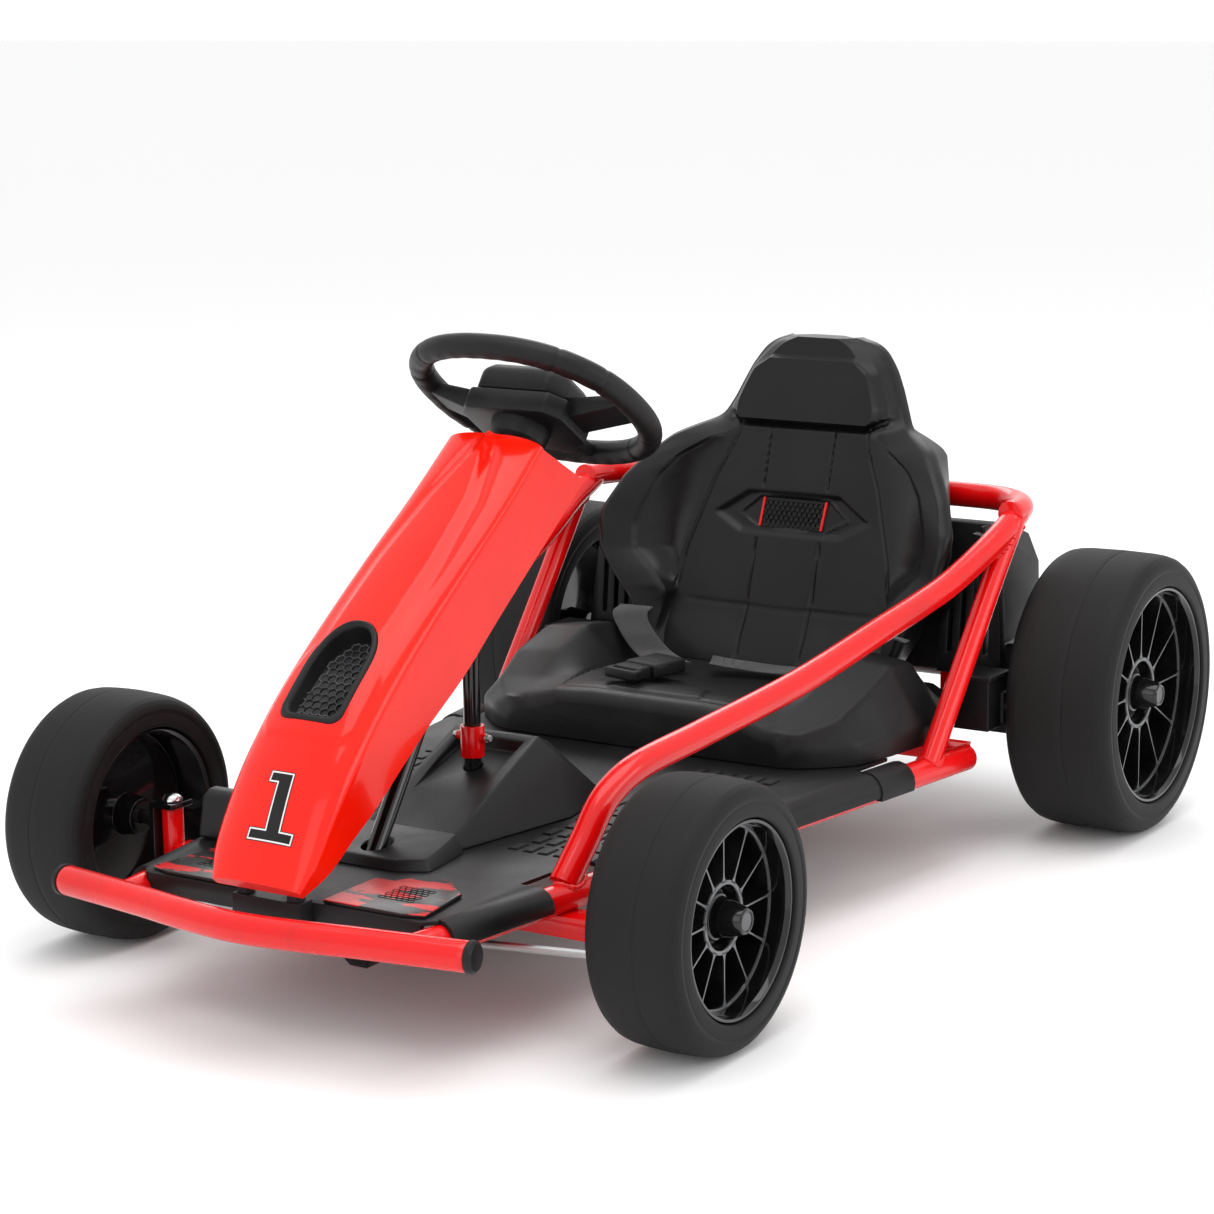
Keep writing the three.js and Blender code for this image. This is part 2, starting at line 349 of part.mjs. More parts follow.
// ---------------------------------------------------------------- nose shell
// stations from tip to steering wheel: centre line, edge between top and flank, lower edge of the flank, half width, lower half width
const NOSE = [
  { c: [184, 138], k: [178, 133], f: [174, 129], w: 44, g: 43 },
  { c: [174, 162], k: [163, 153], f: [152, 144], w: 51, g: 52 },
  { c: [156, 193], k: [142, 181], f: [124, 166], w: 53.5, g: 56 },
  { c: [134, 224], k: [119, 209], f: [95, 185], w: 54.5, g: 57.5 },
  { c: [101, 259], k: [87, 244], f: [57, 211], w: 54, g: 57 },
  { c: [68, 289], k: [54, 273], f: [19, 236], w: 53, g: 56 },
  { c: [20, 325], k: [7, 310], f: [-32, 266], w: 52, g: 55 },
  { c: [-37, 364], k: [-48, 350], f: [-86, 305], w: 51.5, g: 54 },
  { c: [-100, 406], k: [-110, 393], f: [-150, 350], w: 50.5, g: 53 },
  { c: [-157, 449], k: [-167, 436], f: [-224, 402], w: 49, g: 52 },
];
const noseRing = ({ c, k, f, w, g }, inset, extra) => {
  // inset moves the skin inward; extra carries the flank past its lower edge, to leave the underside open
  const n = V(c[0] - k[0], 0, c[1] - k[1]).normalize();
  const C = V(c[0], 0, c[1]).addScaledVector(n, -inset), K = V(k[0], 0, k[1]).addScaledVector(n, -inset);
  const F = V(f[0], 0, f[1]).addScaledVector(V(f[0] - k[0], 0, f[1] - k[1]).normalize(), extra);
  const pts = [], N = 6;
  pts.push(F.clone().setY(g - inset));
  for (let i = 0; i <= 2 * N; i++) {
    const a = (Math.PI * i) / (2 * N), cy = Math.cos(a), sy = Math.sin(a), e = 2 / 2.4;
    const y = Math.sign(cy) * Math.pow(Math.abs(cy), e) * (w - inset), t = Math.pow(sy, e);
    pts.push(K.clone().lerp(C, t).setY(y));
  }
  pts.push(F.clone().setY(inset - g));
  return pts;
};
const flatNose = (p) => new THREE.Vector2(p.y, 0.6 * p.z + 0.8 * p.x);
const noseOuter = loft(NOSE.map((s) => noseRing(s, 0, 0)), flatNose);
const inner = NOSE.map((s, i) => noseRing(s, SHELL, 14));
const shift = (ringPts, d) => ringPts.map((p) => p.clone().add(V(...d)));
const noseInner = loft([shift(inner[1], [4, 0, -5]), ...inner.slice(1), shift(inner.at(-1), [-20, 0, 16])], flatNose);
// air intake: an arch-shaped tray let into the top of the shell, its rim standing just proud
const INTAKE = { at: [70, 0, 287], arch: [[-51, 23], [-40, 31.5], [0, 30.5], [22, 26], [39, 16], [47, 8]] };
const arch = (grow) => {
  const a = INTAKE.arch.map(([u, v]) => [u + Math.sign(u) * grow, v + grow]);
  return [...a, [51 + grow, 0], ...a.toReversed().map(([u, v]) => [u, -v])];
};
const onSlope = (g) => g.applyMatrix4(new THREE.Matrix4().makeBasis(V(-0.8, 0, 0.6), V(0, -1, 0), V(0.6, 0, 0.8)).setPosition(...INTAKE.at));
add(body, 'nose_shell', cut(noseOuter, noseInner, onSlope(prism(arch(GAP), -30, 20))), LOOK.red);
const noseProud = loft(NOSE.map((q) => noseRing(q, -1.6, 0)), flatNose);
const tray = shape(solid(onSlope(prism(arch(0), -18, 20))).intersect(solid(noseProud)).subtract(solid(onSlope(prism(arch(-5), -15, 20)))));
add(body, 'nose_intake', tray, LOOK.black);
add(body, 'nose_bracket', join(box(150 + GAP, 168, -34, 34, 101, 121), box(154, 166, -30, -20, 120, 128), box(154, 166, 20, 30, 120, 128)), LOOK.black);

// ---------------------------------------------------------------- seat
// back: sections at rising heights. p: panel half width, t: wing tip half width, fwd: how far the tips stand forward, o: outermost half width
const panelX = (z) => -690 - 0.31 * (z - 311);
const SEAT = [
  { z: 150 + GAP, p: 118, t: 132, fwd: 8, o: 139, d: 40 },
  { z: 175, p: 124, t: 141, fwd: 20, o: 149, d: 44 },
  { z: 215, p: 119, t: 158, fwd: 34, o: 167, d: 46 },
  { z: 255, p: 113, t: 186, fwd: 48, o: 195, d: 42 },
  { z: 290, p: 102, t: 191, fwd: 50, o: 200, d: 38 },
  { z: 320, p: 92, t: 182, fwd: 42, o: 190, d: 38 },
  { z: 350, p: 80, t: 160, fwd: 25, o: 167, d: 40 },
  { z: 368, p: 73, t: 141, fwd: 10, o: 149, d: 43 },
  { z: 383, p: 70, t: 105, fwd: -10, o: 112, d: 44 },
  { z: 386, p: 71, t: 98, fwd: -20, o: 103, d: 46 },
  { z: 420, p: 66, t: 85, fwd: -20, o: 91, d: 46 },
  { z: 450, p: 56, t: 70, fwd: -18, o: 75, d: 43 },
  { z: 464, p: 44, t: 56, fwd: -14, o: 60, d: 38 },
  { z: 470, p: 32, t: 42, fwd: -10, o: 45, d: 32 },
];
const seatRing = ({ z, p, t, fwd, o, d }) => {
  const x = panelX(z), lean = z > 384 ? 6 : 0;
  const back = Math.min(o, p + 62);    // the shell narrows towards the rear
  const h = [[x + lean, p], [x + fwd, t], [x + fwd - 12, o], [x - d + 12, 0.35 * o + 0.65 * back - 6], [x - d, back - 24]];
  return [...h.map(([X, y]) => V(X, y, z)), ...h.toReversed().map(([X, y]) => V(X, -y, z))];
};
add(body, 'seat_back', loft(SEAT.map(seatRing), (q) => new THREE.Vector2(q.x, q.y)), LOOK.black);
// base: sections from front to rear. w: half width at the floor, b: bolster line, top heights at centre / bolster / shoulder
const BASE = [
  { x: -393, w: 150, b: 92, c: 160, s: 158, h: 146, u: 140 },
  { x: -402, w: 172, b: 100, c: 167, s: 164, h: 154, u: 160 },
  { x: -436, w: 208, b: 108, c: 168, s: 165, h: 163, u: 186 },
  { x: -480, w: 219, b: 112, c: 164, s: 166, h: 182, u: 196 },
  { x: -530, w: 226, b: 112, c: 160, s: 164, h: 198, u: 194 },
  { x: -580, w: 222, b: 112, c: 156, s: 160, h: 192, u: 188 },
  { x: -612, w: 212, b: 112, c: 152, s: 155, h: 170, u: 180 },
  { x: -624, w: 212, b: 112, c: 149.8, s: 149.8, h: 149.8, u: 178 },
  { x: -652, w: 206, b: 112, c: 149.8, s: 149.8, h: 149.8, u: 176 },
];
const baseRing = ({ x, w, b, c, s, h, u }) => {
  const hh = [[b * 0.6, c], [b, s], [b + 34, h], [u, h - 5 * (h > 150)], [w, Math.min(h - 16, 140)], [w, 119.2]];
  return [...hh.map(([y, z]) => V(x, y, z)), ...hh.toReversed().map(([y, z]) => V(x, -y, z))];
};
add(body, 'seat_base', loft(BASE.map(baseRing), (q) => new THREE.Vector2(q.y, q.z)), LOOK.black);

// ---------------------------------------------------------------- rear body and side boxes
const rearBody = join(hull([-1, 1].flatMap((s) => [[-706, s * 200, 150 + GAP], [-846, s * 188, 150 + GAP], [-706, s * 200, 178], [-856, s * 190, 178]])),
  hull([-1, 1].flatMap((s) => [[-706, s * 213, 176], [-824, s * 211, 176], [-856, s * 190, 176], [-858, s * 190, 210], [-852, s * 190, 236], [-822, s * 210, 246], [-836, s * 188, 262],
    [-806, s * 206, 276], [-800, s * 186, 286], [-760, s * 204, 294], [-716, s * 204, 298], [-706, s * 204, 298]])));
const seatRoom = hull(SEAT.filter((q) => q.z < 340).flatMap((q) => [1, -1].flatMap((s) => [[-600, s * (q.o + 3), q.z - 3], [panelX(q.z) - q.d - 1.5, s * (q.o + 3), q.z - 3]])));
add(body, 'rear_body', cut(rearBody, seatRoom), LOOK.black);
for (const [side, s] of SIDES) {
  const slots = Array.from({ length: 4 }, (_, i) => box(-700, -655, 178 + 13 * i, 183 + 13 * i, 176, 282));
  const panel = cut(hull([[-676, 168, 156], [-676, 238, 156], [-688, 168, 156], [-688, 238, 156], [-690, 168, 298], [-690, 226, 290], [-702, 168, 298], [-702, 226, 290]]),
    hull(SEAT.filter((q) => q.z < 340).flatMap((q) => [-1, 1].flatMap((k) => [[-600, k * (q.o + 1), q.z - 3], [panelX(q.z) - q.d - 1, k * (q.o + 1), q.z - 3]]))), ...slots,
    bentTube(STRUT_PATH, 10.5 + 1, 4, 10));
  add(body, `louvre_${side}`, sided(panel, s), LOOK.black);
  add(body, `side_box_${side}`, sided(join(box(-660, -619, 214, 252, 116, 166), box(-663, -616, 214, 255, 166, 170), box(-657, -645, 251, 256, 120, 150)), s), LOOK.black);
}

// ---------------------------------------------------------------- lap belt
const ribbon = (path, width, thick) => {   // flat strap: each entry is a point and the direction of the strap's width
  const P = path.map((q) => V(...q[0])), W = path.map((q) => V(...q[1]).normalize());
  const rings = P.map((c, i) => {
    const T = P[Math.min(i + 1, P.length - 1)].clone().sub(P[Math.max(i - 1, 0)]).normalize();
    const w = W[i].clone().addScaledVector(T, -W[i].dot(T)).normalize().multiplyScalar(width / 2), n = T.clone().cross(w).normalize().multiplyScalar(thick / 2);
    return [c.clone().add(w).add(n), c.clone().add(w).sub(n), c.clone().sub(w).sub(n), c.clone().sub(w).add(n)];
  });
  return loft(rings, (q) => { const A = rings[0]; const u = A[1].clone().sub(A[0]).normalize(), v = A[3].clone().sub(A[0]).normalize(); return new THREE.Vector2(q.dot(u), q.dot(v)); });
};
add(body, 'belt_left', ribbon([[[-622, 150, 199], [0.75, 0.3, 0]], [[-588, 146, 201], [0.75, 0.5, 0.1]], [[-570, 118, 182], [1, 0.1, 0]], [[-572, 88, 168], [1, 0, 0]], [[-576, 45, 163], [1, 0, 0]],
  [[-566, 5, 166], [1, 0.2, 0]], [[-556, -18, 170], [1, 0.3, 0]]], 36, 2.4), LOOK.webbing);
add(body, 'belt_right', ribbon([[[-626.6, -148, 199], [0.8, -0.4, 0]], [[-598, -138, 197], [0.8, -0.5, 0]], [[-572, -112, 184], [0.8, -0.55, 0]], [[-552, -82, 172], [0.7, -0.7, 0]], [[-532, -52, 170], [0.5, -0.9, 0]],
  [[-525, -38, 172], [0.3, -0.95, 0]]], 36, 2.4), LOOK.webbing);
add(body, 'buckle', new THREE.BoxGeometry(74, 42, 15).rotateZ(-0.21).translate(-468, -39.5, 177), LOOK.black);

export default kart;
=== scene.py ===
# %% [markdown]
# # A child's electric drift kart, built around its measured frame
# The kart is a splayed tube chassis with guard bars and a rear hoop, a long nose shell over the steering
# column, a moulded seat, and four spoked wheels on slick tyres. Everything here is in metres, +X is
# forward, +Y is the driver's left, and the kart stands on z = 0. The engineering model is loaded first. It
# is faceted but exact, so every piece below takes its place from it.

# %% Frame
import json
import math

import bmesh
import bpy
import numpy as np
from mathutils import Matrix, Vector


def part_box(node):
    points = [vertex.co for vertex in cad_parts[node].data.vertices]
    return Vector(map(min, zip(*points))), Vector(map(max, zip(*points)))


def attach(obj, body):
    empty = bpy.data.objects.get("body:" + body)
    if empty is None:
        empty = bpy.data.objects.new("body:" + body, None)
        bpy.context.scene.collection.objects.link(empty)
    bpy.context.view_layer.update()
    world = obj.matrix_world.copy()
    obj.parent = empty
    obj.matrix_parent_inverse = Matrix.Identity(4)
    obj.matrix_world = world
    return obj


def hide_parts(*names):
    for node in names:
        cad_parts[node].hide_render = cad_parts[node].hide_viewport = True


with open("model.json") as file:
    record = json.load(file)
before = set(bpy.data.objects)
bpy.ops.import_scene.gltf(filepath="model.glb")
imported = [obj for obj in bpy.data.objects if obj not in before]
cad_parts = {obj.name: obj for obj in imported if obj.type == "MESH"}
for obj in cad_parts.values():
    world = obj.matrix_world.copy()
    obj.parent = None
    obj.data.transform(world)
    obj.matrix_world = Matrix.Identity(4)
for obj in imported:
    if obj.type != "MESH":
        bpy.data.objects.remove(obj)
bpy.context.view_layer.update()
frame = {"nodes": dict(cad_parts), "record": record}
node_bodies = {n: b for b, ns in frame["record"]["behaviour"]["bodies"].items() for n in ns}
SIDES = (("left", 1), ("right", -1))

# %% [markdown]
# The kart is drawn in millimetres measured from the front axle, as its makers would.
# `at` turns such a point into the frame's metres. The axle's place comes from the kingpin in the frame.

# %% Measuring from the front axle
MM = 0.001


def middle(node):
    low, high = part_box(node)
    return (low + high) / 2


FRONT_X = middle("kingpin_left").x
REAR_X = (middle("rear_axle").x - FRONT_X) / MM


def at(x, y, z):
    return Vector((FRONT_X + x * MM, y * MM, z * MM))


print(f"front axle at x = {FRONT_X:.4f} m, rear axle {REAR_X:.1f} mm behind it")

# %% [markdown]
# ## Camera
# A long lens, about 91 mm on a 36 mm frame, stands ahead of the kart on the driver's left, a little above
# wheel height and looking slightly down. The long lens keeps the near wheel from looking much larger than
# the far one.

# %% Camera
LOOK = Vector((-0.82530993, -0.52743017, -0.20169517))
RIGHT = Vector((-0.53621549, 0.84398284, -0.01288104))
UP = Vector((-0.17702111, -0.09752122, 0.97936364))
CAMERA_PLACE = (2.330442, 1.489112, 0.833703)
FOCAL = 91.435

camera = bpy.data.objects.new("camera", bpy.data.cameras.new("camera"))
bpy.context.scene.collection.objects.link(camera)
turn = Matrix((RIGHT, UP, -LOOK)).transposed().to_4x4()
camera.matrix_world = Matrix.Translation(CAMERA_PLACE) @ turn
camera.data.sensor_width = 36
camera.data.lens = FOCAL
camera.data.clip_end = 60
bpy.context.scene.camera = camera
print("camera at", tuple(round(c, 3) for c in camera.location))

# %% [markdown]
# ## Studio
# A plain pale floor and a few large soft lamps, as for a catalogue picture. A wide lamp overhead draws the
# long highlights on the tubes and the nose, and a weaker one in front opens up the black plastic.

# %% Studio


def flat_finish(name, colour, roughness):
    material = bpy.data.materials.new(name)
    material.use_nodes = True
    shader = material.node_tree.nodes["Principled BSDF"]
    shader.inputs["Base Color"].default_value = (*colour, 1)
    shader.inputs["Roughness"].default_value = roughness
    return material


bpy.ops.mesh.primitive_plane_add(size=60, location=(0, 0, 0))
floor = bpy.context.object
floor.name = "studio_floor"
floor.data.materials.append(flat_finish("studio_floor", (0.95, 0.95, 0.95), 0.7))

world = bpy.data.worlds.new("studio")
bpy.context.scene.world = world
world.use_nodes = True
world.node_tree.nodes["Background"].inputs["Color"].default_value = (1, 1, 1, 1)
world.node_tree.nodes["Background"].inputs["Strength"].default_value = 1.0
bpy.context.scene.view_settings.view_transform = "Standard"

LAMPS = (  # name, place, aimed at, width, depth, watts
    ("overhead", (0.2, 0.3, 3.2), (0, 0, 0), 3.2, 2.2, 46),
    ("front", (3.4, 0.6, 1.8), (0, 0, 0.2), 1.6, 2.4, 12),
    ("left_side", (-0.4, 3.4, 1.7), (-0.2, 0, 0.2), 2.8, 1.2, 22),
    ("behind", (-2.8, -1.6, 2.2), (0, 0, 0.3), 2.4, 1.2, 24),
)
for name, place, target, width, depth, watts in LAMPS:
    lamp = bpy.data.objects.new(name, bpy.data.lights.new(name, "AREA"))
    bpy.context.scene.collection.objects.link(lamp)
    lamp.data.shape = "RECTANGLE"
    lamp.data.size, lamp.data.size_y, lamp.data.energy = width, depth, watts
    lamp.location = place
    lamp.rotation_euler = (Vector(target) - Vector(place)).to_track_quat("-Z", "Y").to_euler()
print(len(LAMPS), "soft lamps")

# %% [markdown]
# ## Node graphs in plain sums
# Both shader trees and geometry trees are made with one helper. `Graph.node` makes any node from its type,
# its settings and what goes into its sockets. A `Wire` is one output that Python can add, multiply and
# compare, so a mask reads like a formula and each operator quietly adds its Math node.

# %% Wires and graphs


class Wire:
    """One output of a node, with the sums that masks need."""

    def __init__(self, graph, socket):
        self.graph, self.socket = graph, socket

    def sum(self, operation, *values):
        return self.graph.node("ShaderNodeMath", {"operation": operation}, dict(enumerate(values)))

    def __add__(self, other): return self.sum("ADD", self, other)
    def __radd__(self, other): return self.sum("ADD", other, self)
    def __sub__(self, other): return self.sum("SUBTRACT", self, other)
    def __rsub__(self, other): return self.sum("SUBTRACT", other, self)
    def __mul__(self, other): return self.sum("MULTIPLY", self, other)
    def __rmul__(self, other): return self.sum("MULTIPLY", other, self)
    def __truediv__(self, other): return self.sum("DIVIDE", self, other)
    def __rtruediv__(self, other): return self.sum("DIVIDE", other, self)
    def __gt__(self, other): return self.sum("GREATER_THAN", self, other)
    def __lt__(self, other): return self.sum("LESS_THAN", self, other)
    def __abs__(self): return self.sum("ABSOLUTE", self)
    def most(self, other): return self.sum("MAXIMUM", self, other)
    def repeat(self, length): return self.sum("PINGPONG", self, length)


class Graph:
    """A node tree, and the one way its nodes are made."""

    def __init__(self, tree):
        self.tree = tree

    def node(self, kind, settings=None, sockets=None, out=0):
        made = self.tree.nodes.new(kind)
        for key, value in (settings or {}).items():
            if key == "stops":
                ramp = made.color_ramp
                while len(ramp.elements) < len(value):
                    ramp.elements.new(0.5)
                for element, (position, colour) in zip(ramp.elements, value):
                    element.position, element.color = position, (*colour, 1)
            else:
                setattr(made, key, value)
        for key, value in (sockets or {}).items():
            socket = made.inputs[key]
            if isinstance(value, Wire):
                self.tree.links.new(value.socket, socket)
            else:
                socket.default_value = value
        return Wire(self, made.outputs[out])


print("graph helper ready")

# %% [markdown]
# ## Finishes
# A `Finish` is a material made of one Principled shader. What is the same all over the surface is set on
# the shader's own sockets, and only what really changes, such as colour, roughness and fine relief, is
# wired. Patterns read Object coordinates, which are metres here, so a scale of 900 makes grains of about a
# millimetre.

# %% Finish helper


SHEEN = 0.26  # specular level that keeps blacks deep and reds full


class Finish(Graph):
    def __init__(self, name, colour=(0.5, 0.5, 0.5), roughness=0.5, **constants):
        self.material = bpy.data.materials.new(name)
        self.material.use_nodes = True
        super().__init__(self.material.node_tree)
        self.shader = self.tree.nodes["Principled BSDF"]
        constants = {"base_color": (*colour, 1), "roughness": roughness, "specular_ior_level": SHEEN,
                     **constants}
        for key, value in constants.items():
            self.shader.inputs[key.replace("_", " ").title().replace("Ior", "IOR")].default_value = value
        self.place = self.node("ShaderNodeTexCoord", out="Object")

    def stretched(self, scale=(1, 1, 1), turn=(0, 0, 0), shift=(0, 0, 0), source=None):
        return self.node("ShaderNodeMapping",
                         sockets={"Vector": source or self.place, "Scale": scale, "Rotation": turn,
                                  "Location": shift})

    def cloud(self, scale, detail=3.0, roughness=0.5, vector=None):
        return self.node("ShaderNodeTexNoise",
                         sockets={"Vector": vector or self.place, "Scale": scale, "Detail": detail,
                                  "Roughness": roughness})

    def pits(self, scale, vector=None, feature="F1"):
        return self.node("ShaderNodeTexVoronoi", {"feature": feature},
                         {"Vector": vector or self.place, "Scale": scale})

    def axis(self, letter, source=None):
        return self.node("ShaderNodeSeparateXYZ", sockets={"Vector": source or self.place},
                         out="XYZ".index(letter.upper()))

    def own(self, attribute):
        return self.node("ShaderNodeAttribute", {"attribute_name": attribute}, out="Fac")

    def ramp(self, value, low, high):
        """0 below low, 1 above high, smooth between."""
        return self.node("ShaderNodeMapRange", {"interpolation_type": "SMOOTHSTEP"},
                         {0: value, 1: low, 2: high, 3: 0.0, 4: 1.0})

    def blend(self, mask, first, second):
        colours = [c if isinstance(c, Wire) else (*c, 1) for c in (first, second)]
        return self.node("ShaderNodeMix", {"data_type": "RGBA"}, {0: mask, 6: colours[0], 7: colours[1]},
                         out=2)

    def relief(self, height, depth, strength=1.0, under=None):
        sockets = {"Height": height, "Distance": depth, "Strength": strength}
        if under is not None:
            sockets["Normal"] = under
        return self.node("ShaderNodeBump", sockets=sockets)

    def wire(self, **wires):
        for key, value in wires.items():
            self.tree.links.new(value.socket, self.shader.inputs[key.replace("_", " ").title()])
        return self.material


finishes = {}
print("finish helper ready")

# %% [markdown]
# The tubes are powder coated: a deep red under a clear glossy skin with a slight orange peel, which is the
# faint ripple that sprayed and baked paint leaves. The paint is a little darker and duller where dust
# settles.

# %% Red tube paint
paint = Finish("red_tube_paint", roughness=0.25, coat_weight=0.42, coat_roughness=0.07)
peel = paint.cloud(420, 2.0)
dust = paint.ramp(paint.cloud(9, 5.0, 0.65), 0.46, 0.7)
fleck = paint.ramp(paint.cloud(900, 2.0), 0.7, 0.78)
tone = paint.blend(dust, (0.72, 0.0020, 0.0025), (0.60, 0.0020, 0.0025))
tone = paint.blend(fleck * 0.35, tone, (0.42, 0.006, 0.006))
finishes["red paint"] = paint.wire(
    base_color=tone, roughness=0.2 + 0.12 * dust + 0.05 * peel, normal=paint.relief(peel, 0.00016, 0.5))

# %% [markdown]
# The nose is injection moulded plastic, more orange than the tubes and almost mirror smooth. It has wide,
# very shallow waves where the plastic sank on cooling, and hair-fine polishing marks that only show inside
# a highlight.

# %% Red shell plastic
shell = Finish("red_shell_plastic", roughness=0.16, coat_weight=0.3, coat_roughness=0.04,
               specular_ior_level=0.2)
sink = shell.cloud(14, 2.0, 0.4)
hairs = shell.cloud(60, 4.0, 0.7, shell.stretched((2, 30, 6), (0.2, 0.5, 0.1)))
tone = shell.blend(shell.ramp(sink, 0.3, 0.7), (0.88, 0.0110, 0.0010), (0.80, 0.0070, 0.0010))
finishes["red shell"] = shell.wire(
    base_color=tone, roughness=0.11 + 0.1 * hairs,
    normal=shell.relief(sink, 0.0006, 0.25, shell.relief(hairs, 0.00004, 0.3)))

# %% [markdown]
# Black moulded plastic is never quite black. The mould is etched with a fine pebble grain, so the surface
# scatters light, and handling polishes the grain away in soft patches. `moulded` makes the four kinds on
# the kart: the floor and covers, the satin seat, the rubbery grip of the steering wheel, and the dark mesh
# in the eye and on the foot pads.

# %% Black moulded plastics


def moulded(name, dark, pale, smooth, rough, grain, depth, **constants):
    f = Finish(name, roughness=rough, **constants)
    pebble = f.pits(grain)
    worn = f.ramp(f.cloud(7, 6.0, 0.62), 0.42, 0.68)
    scuffs = f.ramp(f.cloud(30, 8.0, 0.75, f.stretched((1, 5, 3), (0.4, 0.2, 0.7))), 0.62, 0.8)
    tone = f.blend(worn, dark, pale)
    tone = f.blend(scuffs * 0.5, tone, tuple(2.1 * c for c in pale))
    polish = smooth + (rough - smooth) * (0.65 * worn + 0.35 * pebble) + 0.06 * scuffs
    return f, tone, polish, f.relief(pebble, depth, 0.6, f.relief(f.cloud(16, 2.0), 0.0007, 0.2))


f, tone, polish, skin = moulded("floor_plastic", (0.0055, 0.0055, 0.0062), (0.0105, 0.0107, 0.0118), 0.36,
                                0.56, 780, 0.00014)
finishes["black plastic"] = f.wire(base_color=tone, roughness=polish, normal=skin)

f, tone, polish, skin = moulded("seat_plastic", (0.0050, 0.0050, 0.0054), (0.0092, 0.0094, 0.0100), 0.3, 0.46,
                                1100, 0.00008)
gloss = f.own("gloss")
finishes["seat plastic"] = f.wire(
    base_color=f.blend(gloss, tone, (0.007, 0.007, 0.0075)), roughness=polish * (1 - 0.55 * gloss),
    normal=skin)

f, tone, polish, skin = moulded("grip_rubber", (0.0050, 0.0050, 0.0054), (0.0098, 0.0098, 0.0102), 0.38, 0.6,
                                1500, 0.00012)
finishes["grip"] = f.wire(base_color=tone, roughness=polish, normal=skin)

f, tone, polish, skin = moulded("dark_mesh", (0.012, 0.012, 0.013), (0.028, 0.028, 0.03), 0.4, 0.7, 1300,
                                0.00012)
finishes["dark mesh"] = f.wire(base_color=tone, roughness=polish, normal=skin)
print("moulded plastics:", sorted(finishes))

# %% [markdown]
# The wheels and the steering column are gloss black: lacquered, with a soft film of dust. The raised crest
# of each spoke carries a painted highlight, a pale line given its own pale metal finish.

# %% Gloss black, painted crest highlight and bare metals
lacquer = Finish("gloss_black", roughness=0.14, coat_weight=0.5, coat_roughness=0.05)
film = lacquer.ramp(lacquer.cloud(24, 6.0, 0.7), 0.45, 0.75)
finishes["gloss black"] = lacquer.wire(
    base_color=lacquer.blend(film, (0.0045, 0.0045, 0.005), (0.012, 0.012, 0.0125)),
    roughness=0.1 + 0.16 * film, normal=lacquer.relief(lacquer.cloud(160, 2.0), 0.0002, 0.2))


def bare_metal(name, dark, pale, roughness, streak=(1, 1, 1), metal=1.0, grain=260):
    f = Finish(name, roughness=roughness, metallic=metal)
    wear = f.cloud(grain, 5.0, 0.6, f.stretched(streak))
    spots = f.ramp(f.cloud(70, 4.0), 0.55, 0.75)
    return f.wire(base_color=f.blend(0.6 * wear + 0.4 * spots, dark, pale),
                  roughness=(roughness - 0.08) + 0.22 * wear,
                  normal=f.relief(wear, 0.00008, 0.4))


# Pale metal on the spoke crests: a painted highlight along each rib's front edge.
finishes["painted crest highlight"] = bare_metal("worn_crest", (0.10, 0.10, 0.105), (0.34, 0.35, 0.36), 0.34, metal=0.7)
finishes["zinc"] = bare_metal("zinc_plate", (0.36, 0.37, 0.38), (0.62, 0.63, 0.62), 0.34, (1, 6, 1))
finishes["chrome"] = bare_metal("chrome_plate", (0.62, 0.63, 0.65), (0.78, 0.79, 0.8), 0.15)
finishes["cap grey"] = bare_metal("cap_grey", (0.09, 0.09, 0.095), (0.17, 0.17, 0.18), 0.4, metal=0.3)

# %% [markdown]
# Drift karts run on hard plastic "slicks". They read as rubber: near black, matt, with scuffing that runs
# round the tread and a polished band where the wheel meets the road. The axis of every wheel is Y, so
# distance from it comes from X and Z, measured from a point kept in each tyre's own attributes: `around`
# runs round the tread and `across` runs over its width.

# %% Tyre finish
tyre = Finish("tyre", roughness=0.6, specular_ior_level=0.2)
across, around = tyre.own("across"), tyre.own("around")
line = tyre.node("ShaderNodeCombineXYZ", sockets={0: across * 60, 1: around * 2.2, 2: 0.0})
scuff = tyre.cloud(2.2, 6.0, 0.68, line)
speck = tyre.cloud(700, 3.0)
road = 1 - tyre.ramp(abs(across), 0.55, 0.95)
tone = tyre.blend(tyre.ramp(scuff, 0.35, 0.75), (0.0065, 0.0062, 0.0066), (0.0125, 0.0122, 0.0125))
tone = tyre.blend(road * 0.35, tone, (0.018, 0.0178, 0.0175))
finishes["tyre"] = tyre.wire(
    base_color=tone, roughness=0.44 + 0.24 * scuff + 0.1 * road,
    normal=tyre.relief(speck, 0.0001, 0.5, tyre.relief(scuff, 0.0005, 0.25)))

# %% [markdown]
# Seat belt webbing is a flat herringbone weave. The strap has a UV map in metres, across and along it, so
# the weave follows every bend. Two crossed waves lift the threads, and the over-and-under of the weave is
# their product.

# %% Webbing
belt = Finish("belt_webbing", roughness=0.75, sheen_weight=0.35, sheen_roughness=0.4)
strap = belt.node("ShaderNodeUVMap", {"uv_map": "strap"})
warp = belt.axis("x", strap) * 5200
weft = belt.axis("y", strap) * 4200
slant = warp + weft.repeat(6.0) * 1.4
thread = slant.sum("SINE", slant) * 0.5 + 0.5
over = weft.sum("SINE", weft) * 0.5 + 0.5
weave = thread * 0.7 + over * 0.3
fuzz = belt.cloud(1800, 3.0)
finishes["webbing"] = belt.wire(
    base_color=belt.blend(weave * 0.7 + fuzz * 0.3, (0.0065, 0.0065, 0.007), (0.026, 0.026, 0.028)),
    roughness=0.68 + 0.2 * fuzz, normal=belt.relief(weave, 0.0003, 0.8, belt.relief(fuzz, 0.0001, 0.4)))

# %% [markdown]
# The foot pads carry an abstract printed graphic, torn red brush strokes on black. Stretched noise gives
# the strokes, a second finer noise tears their edges, and a hard step between the two keeps the edge crisp
# like print.

